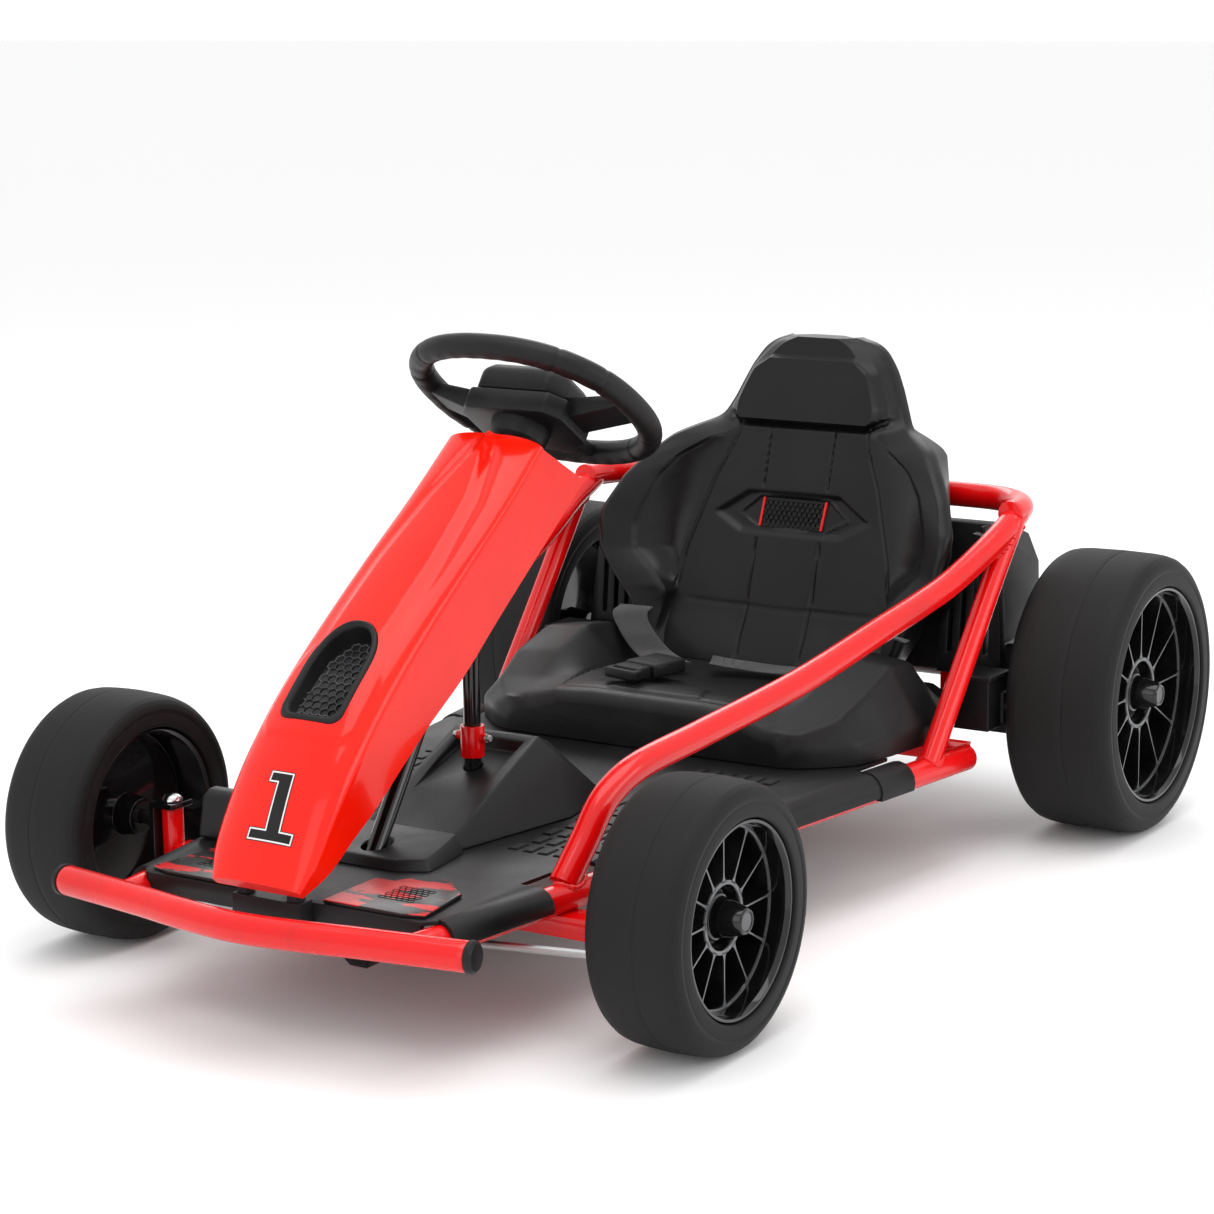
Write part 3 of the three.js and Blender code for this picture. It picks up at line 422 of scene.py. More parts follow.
# %% Foot pad print
pad = Finish("foot_pad_print", roughness=0.3, coat_weight=0.3, coat_roughness=0.2)
stroke = pad.cloud(9, 3.0, 0.55, pad.stretched((5.5, 1.3, 1), (0, 0, 0.55), (0.21, 0.07, 0)))
tear = pad.cloud(150, 5.0, 0.72, pad.stretched((2.2, 1, 1), (0, 0, 0.55)))
ink = pad.ramp(stroke + 0.22 * tear, 0.615, 0.622)
drops = pad.ramp(pad.cloud(330, 2.0), 0.69, 0.7) * pad.ramp(stroke, 0.42, 0.5)
top = pad.ramp(pad.axis("z"), 0.1206, 0.1212)
print_mask = ink.most(drops) * top
finishes["pad print"] = pad.wire(
    base_color=pad.blend(print_mask, (0.0095, 0.0095, 0.0105), (0.56, 0.009, 0.008)),
    roughness=0.3 + 0.14 * tear, normal=pad.relief(pad.pits(700), 0.00012, 0.5))
print(len(finishes), "finishes")

# %% [markdown]
# ## Making a piece
# Every piece ends the same way: its mesh is shaded smooth with sharp corners kept, it gets a finish,
# it stands for its frame nodes, and it rides on their body. `finish_piece` does that once for all.

# %% Piece helpers
SLOTS = {
    "red paint": "red_paint", "red shell": "red_plastic", "black plastic": "black_plastic",
    "seat plastic": "black_plastic",
    "grip": "black_plastic", "dark mesh": "black_plastic", "gloss black": "black_gloss",
    "painted crest highlight": "black_gloss",
    "zinc": "zinc", "chrome": "chrome", "cap grey": "black_plastic", "tyre": "tyre", "webbing": "webbing",
    "pad print": "black_plastic",
}


def mesh_piece(name, points, faces):
    mesh = bpy.data.meshes.new(name)
    mesh.from_pydata([tuple(p) for p in points], [], [tuple(f) for f in faces])
    mesh.validate()
    piece = bpy.data.objects.new(name, mesh)
    bpy.context.scene.collection.objects.link(piece)
    return piece


def ring_faces(count, size):
    """Faces of a closed stack of rings, with a cap at each end."""
    faces = [(i * size + j, i * size + (j + 1) % size, (i + 1) * size + (j + 1) % size, (i + 1) * size + j)
             for i in range(count - 1) for j in range(size)]
    return faces + [tuple(reversed(range(size))), tuple(range((count - 1) * size, count * size))]


def recalculated(piece):
    """Turns every face outward without merging anything."""
    shape = bmesh.new()
    shape.from_mesh(piece.data)
    bmesh.ops.recalc_face_normals(shape, faces=shape.faces)
    shape.to_mesh(piece.data)
    shape.free()
    return piece


def outward(piece, weld=1e-6):
    """Merges doubles and turns every face outward."""
    shape = bmesh.new()
    shape.from_mesh(piece.data)
    bmesh.ops.remove_doubles(shape, verts=shape.verts, dist=weld)
    bmesh.ops.recalc_face_normals(shape, faces=shape.faces)
    shape.to_mesh(piece.data)
    shape.free()
    return piece


def apply_modifiers(piece):
    """Puts what the modifiers made into the mesh itself."""
    bpy.context.view_layer.update()
    evaluated = piece.evaluated_get(bpy.context.evaluated_depsgraph_get())
    made = bpy.data.meshes.new_from_object(evaluated, depsgraph=bpy.context.evaluated_depsgraph_get())
    piece.modifiers.clear()
    piece.data = made
    made.name = piece.name
    return piece


def joined(name, pieces):
    """Several loose meshes as one piece; each keeps its materials."""
    target = pieces[0]
    with bpy.context.temp_override(active_object=target, object=target, selected_editable_objects=pieces,
                                   selected_objects=pieces):
        if len(pieces) > 1:
            bpy.ops.object.join()
    target.name = target.data.name = name
    return target


def finish_piece(piece, finish, nodes=(), body=None, angle=32):
    nodes = [nodes] if isinstance(nodes, str) else list(nodes)
    if finish:
        piece.data.materials.clear()
        piece.data.materials.append(finishes[finish])
    piece.data.polygons.foreach_set("use_smooth", [True] * len(piece.data.polygons))
    piece.data.set_sharp_from_angle(angle=math.radians(angle))
    body = body or node_bodies[nodes[0]]
    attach(piece, body)
    if nodes:
        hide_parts(*nodes)
    return piece


def mirrored(piece, name):
    """The same piece on the other side of the centre plane."""
    copy = piece.copy()
    copy.data = piece.data.copy()
    copy.name = copy.data.name = name
    bpy.context.scene.collection.objects.link(copy)
    copy.data.transform(Matrix.Scale(-1, 4, (0, 1, 0)))
    return outward(copy, 1e-7)


def both(piece, side):
    return piece if side == "left" else mirrored(piece, piece.name.replace("left", "right"))


print("piece helpers ready")

# %% [markdown]
# ## Bent tubes
# The chassis is 25 mm steel tube bent on a mandrel. A tube is a circle carried along a smooth curve, turned
# as little as possible from step to step so that it doesn't twist. Curve objects could do this too, but a
# mesh made directly gives rounded ends and an even grid that the paint's highlights flow along.

# %% Tube maker


def smooth_path(points, step):
    """A Catmull-Rom curve through the points, centripetal, as evenly spaced samples in metres."""
    p = np.array([at(*q) for q in points])
    p = np.vstack([2 * p[0] - p[1], p, 2 * p[-1] - p[-2]])
    line = []
    for a, b, c, d in zip(p, p[1:], p[2:], p[3:]):
        t1 = np.sqrt(np.linalg.norm(b - a))
        t2 = t1 + np.sqrt(np.linalg.norm(c - b))
        t3 = t2 + np.sqrt(np.linalg.norm(d - c))
        t = np.linspace(t1, t2, 24, endpoint=False)[:, None]
        ab, bc, cd = a + (b - a) * t / t1, b + (c - b) * (t - t1) / (t2 - t1), c + (d - c) * (t - t2) / (t3
            - t2)
        abc, bcd = ab + (bc - ab) * t / t2, bc + (cd - bc) * (t - t1) / (t3 - t1)
        line.append(abc + (bcd - abc) * (t - t1) / (t2 - t1))
    line = np.vstack(line + [p[-2:-1]])
    run = np.concatenate([[0], np.cumsum(np.linalg.norm(np.diff(line, axis=0), axis=1))])
    want = np.linspace(0, run[-1], max(2, round(run[-1] / (step * MM)) + 1))
    return np.stack([np.interp(want, run, line[:, k]) for k in range(3)], 1)


def tube(name, path, radius, sides=30, ends=1.5):
    """A closed tube along metre points, rounded at its ends; radius in mm, one number or one per point."""
    path = np.asarray(path, float)
    radius = np.broadcast_to(np.asarray(radius, float) * MM, len(path)).copy()
    along = np.gradient(path, axis=0)
    along /= np.linalg.norm(along, axis=1)[:, None]
    if ends:
        over = ends * MM
        lead = [path[0] + along[0] * over * f for f in (0, 0.3, 1)], [path[-1] - along[-1] * over * f
            for f in (1, 0.3, 0)]
        keep = [i for i in range(1, len(path) - 1)
                if min(np.linalg.norm(path[i] - path[0]), np.linalg.norm(path[i] - path[-1])) > 1.2 * over]
        radius = np.concatenate([radius[0] - over * np.array([1, 0.3, 0]), radius[keep],
                                 radius[-1] - over * np.array([0, 0.3, 1])])
        along = np.vstack([along[[0] * 3], along[keep], along[[-1] * 3]])
        path = np.vstack([lead[0], path[keep], lead[1]])
    side = np.cross(along[0], (0.13, 0.2, 0.97))
    rings = []
    for point, ahead, r in zip(path, along, radius):
        side = side - ahead * (side @ ahead)
        side /= np.linalg.norm(side)
        turn = np.linspace(0, 2 * math.pi, sides, endpoint=False)[:, None]
        rings.append(point + r * (np.cos(turn) * side + np.sin(turn) * np.cross(ahead, side)))
    return mesh_piece(name, np.vstack(rings), ring_faces(len(rings), sides))


def straight(name, start, end, radius, sides=30, ends=1.0):
    a, b = np.array(at(*start)), np.array(at(*end))
    return tube(name, a + (b - a) * np.linspace(0, 1, 12)[:, None], radius, sides, ends)


print("tube maker ready")

# %% [markdown]
# Where two tubes meet they are welded. The bead is a small fillet with the ripples of a hand weld, laid on
# the line where the surfaces cross. Geometry Nodes place one low dome for each ripple on points along that
# line, which is a circle on the joining tube cut off by the other, and a fixed seed varies their size.

# %% Geometry trees


def grow(name, build, inputs=None, finish=None):
    """Runs a geometry tree built here on an empty mesh, and returns what it makes as a plain piece."""
    group = bpy.data.node_groups.new(name, "GeometryNodeTree")
    group.interface.new_socket("Geometry", in_out="OUTPUT", socket_type="NodeSocketGeometry")
    kinds = {float: "NodeSocketFloat", int: "NodeSocketInt", bpy.types.Object: "NodeSocketObject"}
    for key, value in (inputs or {}).items():
        kind = next(v for k, v in kinds.items() if isinstance(value, k))
        group.interface.new_socket(key, in_out="INPUT", socket_type=kind)
    graph = Graph(group)
    source = group.nodes.new("NodeGroupInput")
    wires = {key: Wire(graph, source.outputs[key]) for key in (inputs or {})}
    made = build(graph, **wires)
    made = graph.node("GeometryNodeRealizeInstances", sockets={0: made})
    if finish:
        made = graph.node("GeometryNodeSetMaterial", sockets={0: made, "Material": finishes[finish]})
    group.links.new(made.socket, group.nodes.new("NodeGroupOutput").inputs[0])
    piece = mesh_piece(name, [(0, 0, 0)], [])
    modifier = piece.modifiers.new("grow", "NODES")
    modifier.node_group = group
    for item in group.interface.items_tree:
        if item.in_out == "INPUT" and item.name in (inputs or {}):
            modifier[item.identifier] = inputs[item.name]
    return apply_modifiers(piece)


def points_piece(name, points, normals=None):
    """Loose points that a tree can scatter on, each with a direction to face."""
    piece = mesh_piece(name, points, [])
    if normals is not None:
        facing = piece.data.attributes.new("facing", "FLOAT_VECTOR", "POINT")
        facing.data.foreach_set("vector", np.asarray(normals, np.float32).ravel())
    return piece


def scatter(graph, where, what, size=None, facing=True):
    """Instances of `what` on the points of an object, turned so that their Z follows the stored direction."""
    cloud = graph.node("GeometryNodeObjectInfo", sockets={"Object": where}, out="Geometry")
    sockets = {"Points": cloud, "Instance": what}
    if facing:
        direction = graph.node("GeometryNodeInputNamedAttribute", {"data_type": "FLOAT_VECTOR"},
                               {"Name": "facing"})
        sockets["Rotation"] = graph.node("FunctionNodeAlignRotationToVector", {"axis": "Z"},
                                         {"Vector": direction})
    if size is not None:
        sockets["Scale"] = size
    return graph.node("GeometryNodeInstanceOnPoints", sockets=sockets)


def uneven(graph, low, high, seed):
    return graph.node("FunctionNodeRandomValue", {"data_type": "FLOAT"},
                      {"Min": low, "Max": high, "Seed": seed}, out=1)


def weld_build(graph, Points, Ripple):
    dome = graph.node("GeometryNodeMeshIcoSphere", sockets={"Radius": Ripple, "Subdivisions": 2})
    dome = graph.node("GeometryNodeTransform", sockets={0: dome, "Scale": (0.62, 1.25, 1.0)})
    return scatter(graph, Points, dome, uneven(graph, 0.85, 1.2, 4))


def weld(name, start, end, radius, host, host_radius, finish="red paint"):
    """A bead round the tube start-end where it enters a host tube given as metre points. Radii in mm."""
    a, b = np.array(at(*start)), np.array(at(*end))
    ahead = (b - a) / np.linalg.norm(b - a)
    side = np.cross(ahead, (0.3, 0.1, 0.95))
    side /= np.linalg.norm(side)
    up = np.cross(ahead, side)
    spots, facing = [], []
    for turn in np.linspace(0, 2 * math.pi, round(radius * 3.4), endpoint=False):
        rim = math.cos(turn) * side + math.sin(turn) * up
        reach = np.linspace(0, np.linalg.norm(b - a), 240)
        line = a + rim * radius * MM + ahead * reach[:, None]
        gap = np.min(np.linalg.norm(line[:, None] - host[None], axis=2), axis=1) - host_radius * MM
        hit = np.nonzero(gap <= 0)[0]
        if len(hit) and hit[0] > 0:
            spots.append(line[hit[0]])
            facing.append(rim - ahead)
    points = points_piece(name + "_points", spots, facing)
    bead = grow(name, weld_build, {"Points": points, "Ripple": 0.0023}, finish)
    bpy.data.objects.remove(points)
    return bead


print("geometry tree helpers ready")

# %% [markdown]
# ## The tube chassis
# The points are the bends of the real tubes, the same ones as in the frame. The bumper is a shallow bow in
# front, each lower rail runs straight back and outwards, each guard bar rises over the side in an S, and
# the hoop closes the back.

# %% Chassis tubes
TUBE = 12.5
RAIL_Z = 102


def rail_y(x):
    return 167.7 - 0.145 * x


BOW = [(175.5, 201.4, 108), (190, 109, 108), (199.5, 59, 108), (206, 0, 108), (199.5, -59, 108),
       (190, -109, 108), (175.5, -201.4, 108)]
GUARD = [(-8, 165.5, 111), (-38, 168, 142), (-60, 171, 168), (-84, 174, 182), (-110, 177, 189.5),
         (-191, 186, 199), (-335, 204, 218),
         (-470, 219.5, 244.5), (-525, 226, 255.5), (-570, 231.5, 266), (-617, 238, 283), (-652, 242.6, 297.5),
         (-684, 243.5, 310), (-698, 243, 316)]
STRUT = [(-509, 242, 103), (-574, 243.6, 181), (-650, 245.5, 273), (-683, 247, 312)]
HOOP = {"z": 318, "half": 243, "front": -684, "back": -762, "corner": 72}


def hoop_points():
    c, y, back = HOOP["corner"], HOOP["half"], HOOP["back"]
    turn = np.linspace(math.pi / 2, math.pi, 8)
    left = [(HOOP["front"] + 4, y)] + [(back + c + c * math.cos(a), y - c + c * math.sin(a)) for a in turn]
    return [(px, py, HOOP["z"]) for px, py in left + [(px, -py) for px, py in reversed(left)]]


bow_line = smooth_path(BOW, 6)
finish_piece(tube("bumper_bar_red", bow_line, TUBE), "red paint", "bumper_bar")
guard_line, rail_line = smooth_path(GUARD, 6), None
for side, s in SIDES:
    rail_ends = [(172, rail_y(172), RAIL_Z), (-612, rail_y(-612), RAIL_Z)]
    if side == "left":
        rail_line = np.linspace(np.array(at(*rail_ends[0])), np.array(at(*rail_ends[1])), 400)
        rail = tube("lower_rail_left_red", rail_line[::20], TUBE)
        guard = tube("guard_bar_left_red", guard_line, TUBE - 0.15, ends=1)
        strut = tube("strut_left_red", smooth_path(STRUT, 8), 10.5, ends=0.4)
    finish_piece(both(rail, side), "red paint", f"lower_rail_{side}")
    finish_piece(both(guard, side), "red paint", f"guard_bar_{side}")
    finish_piece(both(strut, side), "red paint", f"strut_{side}")
finish_piece(tube("rear_hoop_red", smooth_path(hoop_points(), 6), TUBE, ends=0.4), "red paint", "rear_hoop")
finish_piece(straight("cross_tube_middle_red", (-300, -200, RAIL_Z), (-300, 200, RAIL_Z), 11), "red paint",
             "cross_tube_middle")
print("tubes: rail", round((rail_ends[0][0] - rail_ends[1][0]) / math.cos(math.atan(0.145))), "mm long")

# %% [markdown]
# Welds go on at each crossing: guard bar to rail, strut to rail and to guard bar, guard bar to hoop, rail
# to bumper. Black plastic plugs close the bumper's ends, each with a thin flange and a domed face.

# %% Welds and bumper plugs
WELDS = (
    ("weld_guard_foot", (-60, 171, 168), (-8, 165.5, 106), TUBE, "rail", TUBE),
    ("weld_strut_foot", (-560, 243.3, 165), (-509, 242, 103), 10.5, "rail", TUBE),
    ("weld_strut_head", (-600, 244.2, 213), (-683, 247, 312), 10.5, "guard", TUBE),
    ("weld_rail_front", (100, rail_y(100), RAIL_Z), (185, rail_y(185), RAIL_Z), TUBE, "bow", TUBE),
)
hosts = {"rail": rail_line, "guard": guard_line, "bow": bow_line}
for name, start, end, radius, host, host_radius in WELDS:
    bead = weld(name + "_left", start, end, radius, hosts[host], host_radius)
    for side, s in SIDES:
        finish_piece(both(bead, side), "red paint", body="chassis", angle=60)


def rounded(profile, radius, steps=4, closed=True):
    """The same outline with its corners rounded; radius in mm, cut down where sides are short."""
    p = [np.array(q[:2], float) for q in profile]
    radii = [q[2] if len(q) > 2 else radius for q in profile]
    out = []
    for i, corner in enumerate(p):
        if not closed and i in (0, len(p) - 1):
            out.append(tuple(corner))
            continue
        before, after = p[i - 1] - corner, p[(i + 1) % len(p)] - corner
        room = min(np.linalg.norm(before), np.linalg.norm(after)) * 0.45
        u, v = before / np.linalg.norm(before), after / np.linalg.norm(after)
        half = math.acos(float(np.clip(u @ v, -1, 1))) / 2
        cut = min(radii[i] / max(math.tan(half), 0.05), room)
        if cut < 1e-4 or half > 1.54:
            out.append(tuple(corner))
            continue
        for t in np.linspace(0, 1, steps + 1):
            out.append(tuple(corner + (1 - t) ** 2 * cut * u + t ** 2 * cut * v))
    return out


def lathe(name, centre, profile, sides=96, axis="Y", closed=True):
    """Turns an outline of (radius, along) in mm round an axis through a metre point."""
    ring = []
    turn = np.linspace(0, 2 * math.pi, sides, endpoint=False)
    for r, along in profile:
        c, s = max(r, 0.0) * np.cos(turn), max(r, 0.0) * np.sin(turn)
        flat = np.full(sides, along)
        ring.append(np.stack({"Y": (c, flat, s), "Z": (c, s, flat), "X": (flat, c, s)}[axis], 1) * MM)
    n = len(profile)
    faces = [(i * sides + j, ((i + 1) % n) * sides + j, ((i + 1) % n) * sides + (j + 1) % sides,
              i * sides + (j + 1) % sides)
             for i in range(n if closed else n - 1) for j in range(sides)]
    piece = outward(mesh_piece(name, np.vstack(ring), faces), 2e-6)
    piece.data.transform(Matrix.Translation(centre))
    return piece


def aim(piece, start, end):
    """Turns a piece lathed on Z at the origin so that Z runs from start to end, and puts it at start."""
    direction = at(*end) - at(*start)
    piece.data.transform(Matrix.Translation(at(*start)) @ direction.to_track_quat("Z",
        "Y").to_matrix().to_4x4())
    return piece


plug = lathe("bumper_cap_left_black", Vector(),
             rounded([(0, -3), (11, -3), (11, 0.2), (13.2, 0.2), (13.2, 4.4), (10.5, 6.8), (0, 7)], 0.9,
                     closed=False), 64, "Z", False)
end_run = Vector(bow_line[0]) - Vector(bow_line[3])
plug = aim(plug, BOW[0], tuple(np.array(BOW[0]) + np.array(end_run.normalized()) * 10))
for side, s in SIDES:
    finish_piece(both(plug, side), "black plastic", f"bumper_cap_{side}")
print(len(WELDS) * 2, "weld beads")

# %% [markdown]
# ## Tyres
# A slick is one turned outline: an almost flat crown with a moulding seam round its middle, soft shoulders,
# and a flatter sidewall ring that is set down by a fine step before it meets the wheel.
# The outline is swept with its own `around` and `across` values, which the tyre finish reads for its scuffs.

# %% Tyres
WHEELS = {
    "front": {"R": 110, "width": 86, "rim": 81, "x": 0, "y": 298.4, "hub": 29, "lip": 18, "seam": 6},
    "rear": {"R": 137.3, "width": 109.5, "rim": 106, "x": REAR_X, "y": 316.4, "hub": 34, "lip": 21,
             "seam": 8},
}


def tyre_outline(w):
    half, R, rim = w["width"] / 2, w["R"], w["rim"]
    wall = R - rim
    side = [(rim + 0.2, half - 7), (rim + 0.4, half - 2.2), (rim + 1.6, half - 0.9), (rim + 3.5, half - 0.7),
            (rim + 0.40 * wall, half - 0.9),
            (rim + 0.43 * wall, half - 1.35), (rim + 0.46 * wall, half - 0.75),
            (rim + 0.56 * wall, half - 0.6), (R - 0.30 * wall, half - 2.0),
            (R - 0.18 * wall, half - 4.6), (R - 0.09 * wall, half - 9), (R - 0.045 * wall, half - 15),
            (R - 0.6, half - 24)]
    seam = w["seam"]
    crown = [(R - 0.15, seam + 2.4), (R - 0.15, seam + 0.9), (R - 0.75, seam), (R - 0.1, seam - 0.9), (R, 0)]
    inner = [(r, -y) for r, y in reversed(side)]
    return side + crown + inner


for end, w in WHEELS.items():
    centre = at(w["x"], w["y"], w["R"])
    piece = lathe(f"tyre_{end}_left_slick", centre, rounded(tyre_outline(w), 0.4, 1), 160)
    place = np.array([v.co for v in piece.data.vertices]) - np.array(centre)
    around = np.abs(np.arctan2(place[:, 2], place[:, 0]))
    for key, values in (("around", around), ("across", place[:, 1] / (w["width"] / 2 * MM))):
        piece.data.attributes.new(key, "FLOAT", "POINT").data.foreach_set("value", values.astype(np.float32))
    for side, s in SIDES:
        finish_piece(both(piece, side), "tyre", f"tyre_{end}_{side}", angle=50)
    print(end, "tyre", 2 * w["R"], "x", w["width"], "mm")

# %% [markdown]
# ## Wheels
# Each wheel is a one-piece moulding: a barrel that funnels in from the tyre, a deep hub, and twelve thin
# ribs that flare where they meet the two rings. Their front edges lie in one plane and carry a painted
# highlight. One rib is modelled, and a geometry tree repeats it round the hub. The tree then picks every
# face that looks outwards in that plane and gives it the pale painted highlight finish.

# %% Spoke tree
CREST_DEPTH = 26
RIBS = 12


def rib_mesh(w):
    """One rib standing along +Z at the wheel's centre, its crest at y = 0."""
    inner, outer = w["hub"] - 0.5, w["rim"] - 8.3
    run = outer - inner
    steps = [(0, 4.6), (0.03, 3.2), (0.07, 2.0), (0.12, 1.3), (0.2, 1.0), (0.5, 0.95), (0.8, 1.0),
             (0.88, 1.3), (0.93, 2.0), (0.97, 3.2), (1, 4.8)]
    points, faces = [], []
    for share, half in steps:
        z = inner + share * run
        for x, y in ((-half * 0.8, 0), (half * 0.8, 0), (half, -1.0), (half + 0.5, -CREST_DEPTH),
                     (-half - 0.5, -CREST_DEPTH), (-half, -1.0)):
            points.append((x * MM, y * MM, z * MM))
    for i in range(len(steps) - 1):
        for j in range(6):
            a, b = i * 6 + j, i * 6 + (j + 1) % 6
            faces.append((a, b, b + 6, a + 6))
    faces += [tuple(range(6)), tuple(reversed(range((len(steps) - 1) * 6, len(steps) * 6)))]
    return outward(mesh_piece("rib", points, faces))


def rib_tree(graph, Rib, Count):
    circle = graph.node("GeometryNodeMeshCircle", {"fill_type": "NONE"}, {"Vertices": Count, "Radius": 0.001})
    one = graph.node("GeometryNodeObjectInfo", sockets={"Object": Rib}, out="Geometry")
    turn = graph.node("GeometryNodeInputIndex") / Count * (2 * math.pi)
    turn = graph.node("ShaderNodeCombineXYZ", sockets={1: turn})
    ribs = graph.node("GeometryNodeInstanceOnPoints",
                      sockets={"Points": graph.node("GeometryNodeTransform",
                                                    sockets={0: circle, "Scale": (0.0, 0.0, 0.0)}),
                                                             "Instance": one, "Rotation": turn})
    return ribs


def crest_tree(graph, made, plane):
    """Pale painted highlight finish on the faces that look along +Y at the crest plane."""
    facing = graph.node("ShaderNodeSeparateXYZ", sockets={0: graph.node("GeometryNodeInputNormal")}, out=1)
    height = graph.node("ShaderNodeSeparateXYZ", sockets={0: graph.node("GeometryNodeInputPosition")}, out=1)
    chosen = (facing > 0.9) * (abs(height - plane) < 0.0007)
    return graph.node("GeometryNodeSetMaterial",
                      sockets={0: made, "Selection": chosen, "Material": finishes["painted crest highlight"]})


def spoked_wheel(name, w):
    half, rim, hub = w["width"] / 2, w["rim"] - 0.3, w["hub"]
    web = half - w["lip"]
    crest = web - 2
    barrel = rounded([
        (rim, half - 6.2), (rim - 1.0, half - 3.2), (rim - 3.4, half - 3.4), (rim - 5.4, half - 7.5),
        (rim - 6.4, crest + 3),
        (rim - 6.8, crest, 0.2), (rim - 8.6, crest, 0.2), (rim - 9.4, crest - 1.2), (rim - 10.5, crest - 24),
        (rim - 16, crest - 28),
        (hub + 2, crest - 27), (hub + 1.4, crest - 1, 0.2), (hub + 0.6, crest, 0.2), (hub - 2.6, crest, 0.2),
        (hub - 3.4, crest - 1), (hub - 4.6, crest - 13),
        (21, crest - 14), (6.4, crest - 14), (6.4, -26), (16, -26), (19, crest - 31), (rim - 14, crest - 32),
        (rim - 7, crest - 27),
        (rim - 5, -(half - 7)), (rim - 2, -(half - 4)), (rim, -(half - 6))], 0.8, 3)
    body = lathe(name + "_body", Vector(), barrel, 144)
    rib = rib_mesh(w)
    ribs_at_origin = rib.data
    ribs_at_origin.transform(Matrix.Translation((0, crest * MM, 0)))

    def build(graph, Rib, Body, Count):
        body_wire = graph.node("GeometryNodeObjectInfo", sockets={"Object": Body}, out="Geometry")
        both_wires = graph.tree.nodes.new("GeometryNodeJoinGeometry")
        for part in (body_wire, rib_tree(graph, Rib, Count)):
            graph.tree.links.new(part.socket, both_wires.inputs[0])
        made = graph.node("GeometryNodeRealizeInstances", sockets={0: Wire(graph, both_wires.outputs[0])})
        made = graph.node("GeometryNodeSetMaterial", sockets={0: made, "Material": finishes["gloss black"]})
        return crest_tree(graph, made, crest * MM)

    piece = grow(name, build, {"Rib": rib, "Body": body, "Count": RIBS})
    for spare in (rib, body):
        bpy.data.objects.remove(spare)
    return piece


for end, w in WHEELS.items():
    half = w["width"] / 2
    centre = at(w["x"], w["y"], w["R"])
    rim = spoked_wheel(f"rim_{end}_left_spoked", w)
    rim.data.transform(Matrix.Translation(centre))
    foot = half - w["lip"] - 15
    cap = lathe(f"wheel_cap_{end}_left_cone", centre, rounded([
        (0, foot), (19.5, foot), (19.5, foot + 7), (18.4, foot + 8.2), (16.6, foot + 8.4), (16.2, foot + 10),
        (15.6, foot + 16), (12.4, foot + 27),
        (10.8, foot + 32.6), (9.6, foot + 34), (8.2, foot + 34), (7.8, foot + 32.8), (0, foot + 32.8)], 0.6,
        2, False), 64, closed=False)
    disc = lathe(f"wheel_cap_{end}_left_disc", centre,
                 [(0, foot + 33.1), (7.2, foot + 33.1), (7.2, foot + 32.2), (0, foot + 32.2)], 48,
                 closed=False)
    for side, s in SIDES:
        finish_piece(both(rim, side), None, f"rim_{end}_{side}", angle=30)
        finish_piece(both(cap, side), "gloss black", f"wheel_cap_{end}_{side}", angle=40)
        finish_piece(both(disc, side), "cap grey", body=f"wheel_{end}_{side}")
    print(end, "wheel:", RIBS, "ribs,", len(rim.data.polygons), "faces")

# %% [markdown]
# ## Seat back
# The seat back is one blow-moulded shell. It has a flat centre panel with sewn-look grooves, a recessed
# eye, glossy scoops between the panel and a raised band along each wing, and a headrest with a chamfered
# face above a deep groove. It is built as a stack of closed rings. A table gives the outline at rising
# heights, and a formula gives how far each point stands forward of the leaning panel, so one mesh carries
# both the big form and the fine relief.

# %% Seat back outline
SEAT = np.array([  # height, panel half width, scoop edge, wing tip, forward, outermost, depth
    (150.3, 118, 124, 132, 8, 139, 40), (175, 124, 130, 141, 20, 149, 44), (206, 121, 124, 152, 31, 161, 46),
    (214, 119, 122, 158, 34, 167, 46),
    (236, 116, 140, 174, 42, 183, 44), (257, 113, 161, 187, 48, 196, 42), (280, 105, 163, 190, 50, 200, 39),
    (296, 100, 160, 190, 49, 199, 38),
    (328, 90, 147, 176, 38, 184, 38), (350, 80, 128, 158, 25, 166, 40), (368, 73, 96, 140, 10, 148, 43),
    (378, 70, 80, 118, -4, 126, 44),
    (384, 72, 84, 104, -14, 110, 45), (390, 80, 90, 100, -18, 105, 46), (404, 80, 87, 93, -20, 98, 46),
    (420, 74, 80, 86, -20, 91, 46),
    (438, 66, 72, 78, -19, 82, 45), (447, 52, 63, 71, -18, 76, 43), (456, 44, 54, 64, -17, 69, 41),
    (463, 37, 46, 55, -16, 60, 37),
    (467.5, 29, 37, 45, -14, 49, 32), (469.6, 20, 27, 34, -12, 38, 26)])
SEAT_TOP = 469.6


def eased(table, heights, sigma):
    """Straight lines between the rows, with the corners softened over sigma mm."""
    fine = np.arange(table[0, 0] - 4 * sigma, table[-1, 0] + 4 * sigma, 0.5)
    kernel = np.exp(-0.5 * (np.arange(-4 * sigma, 4 * sigma + 0.1, 0.5) / sigma) ** 2)
    kernel /= kernel.sum()
    columns = []
    for k in range(1, table.shape[1]):
        row = np.interp(fine, table[:, 0], table[:, k])
        padded = np.pad(row, len(kernel) // 2, mode="edge")
        columns.append(np.interp(heights, fine, np.convolve(padded, kernel, mode="valid")[:len(fine)]))
    return np.stack(columns, 1)


def step(value, low, high):
    t = np.clip((value - low) / (high - low), 0, 1)
    return t * t * (3 - 2 * t)


def panel_x(z):
    lean = -690 - 0.31 * (z - 311)
    return lean + 10 * step(206 - z, 0, 56)


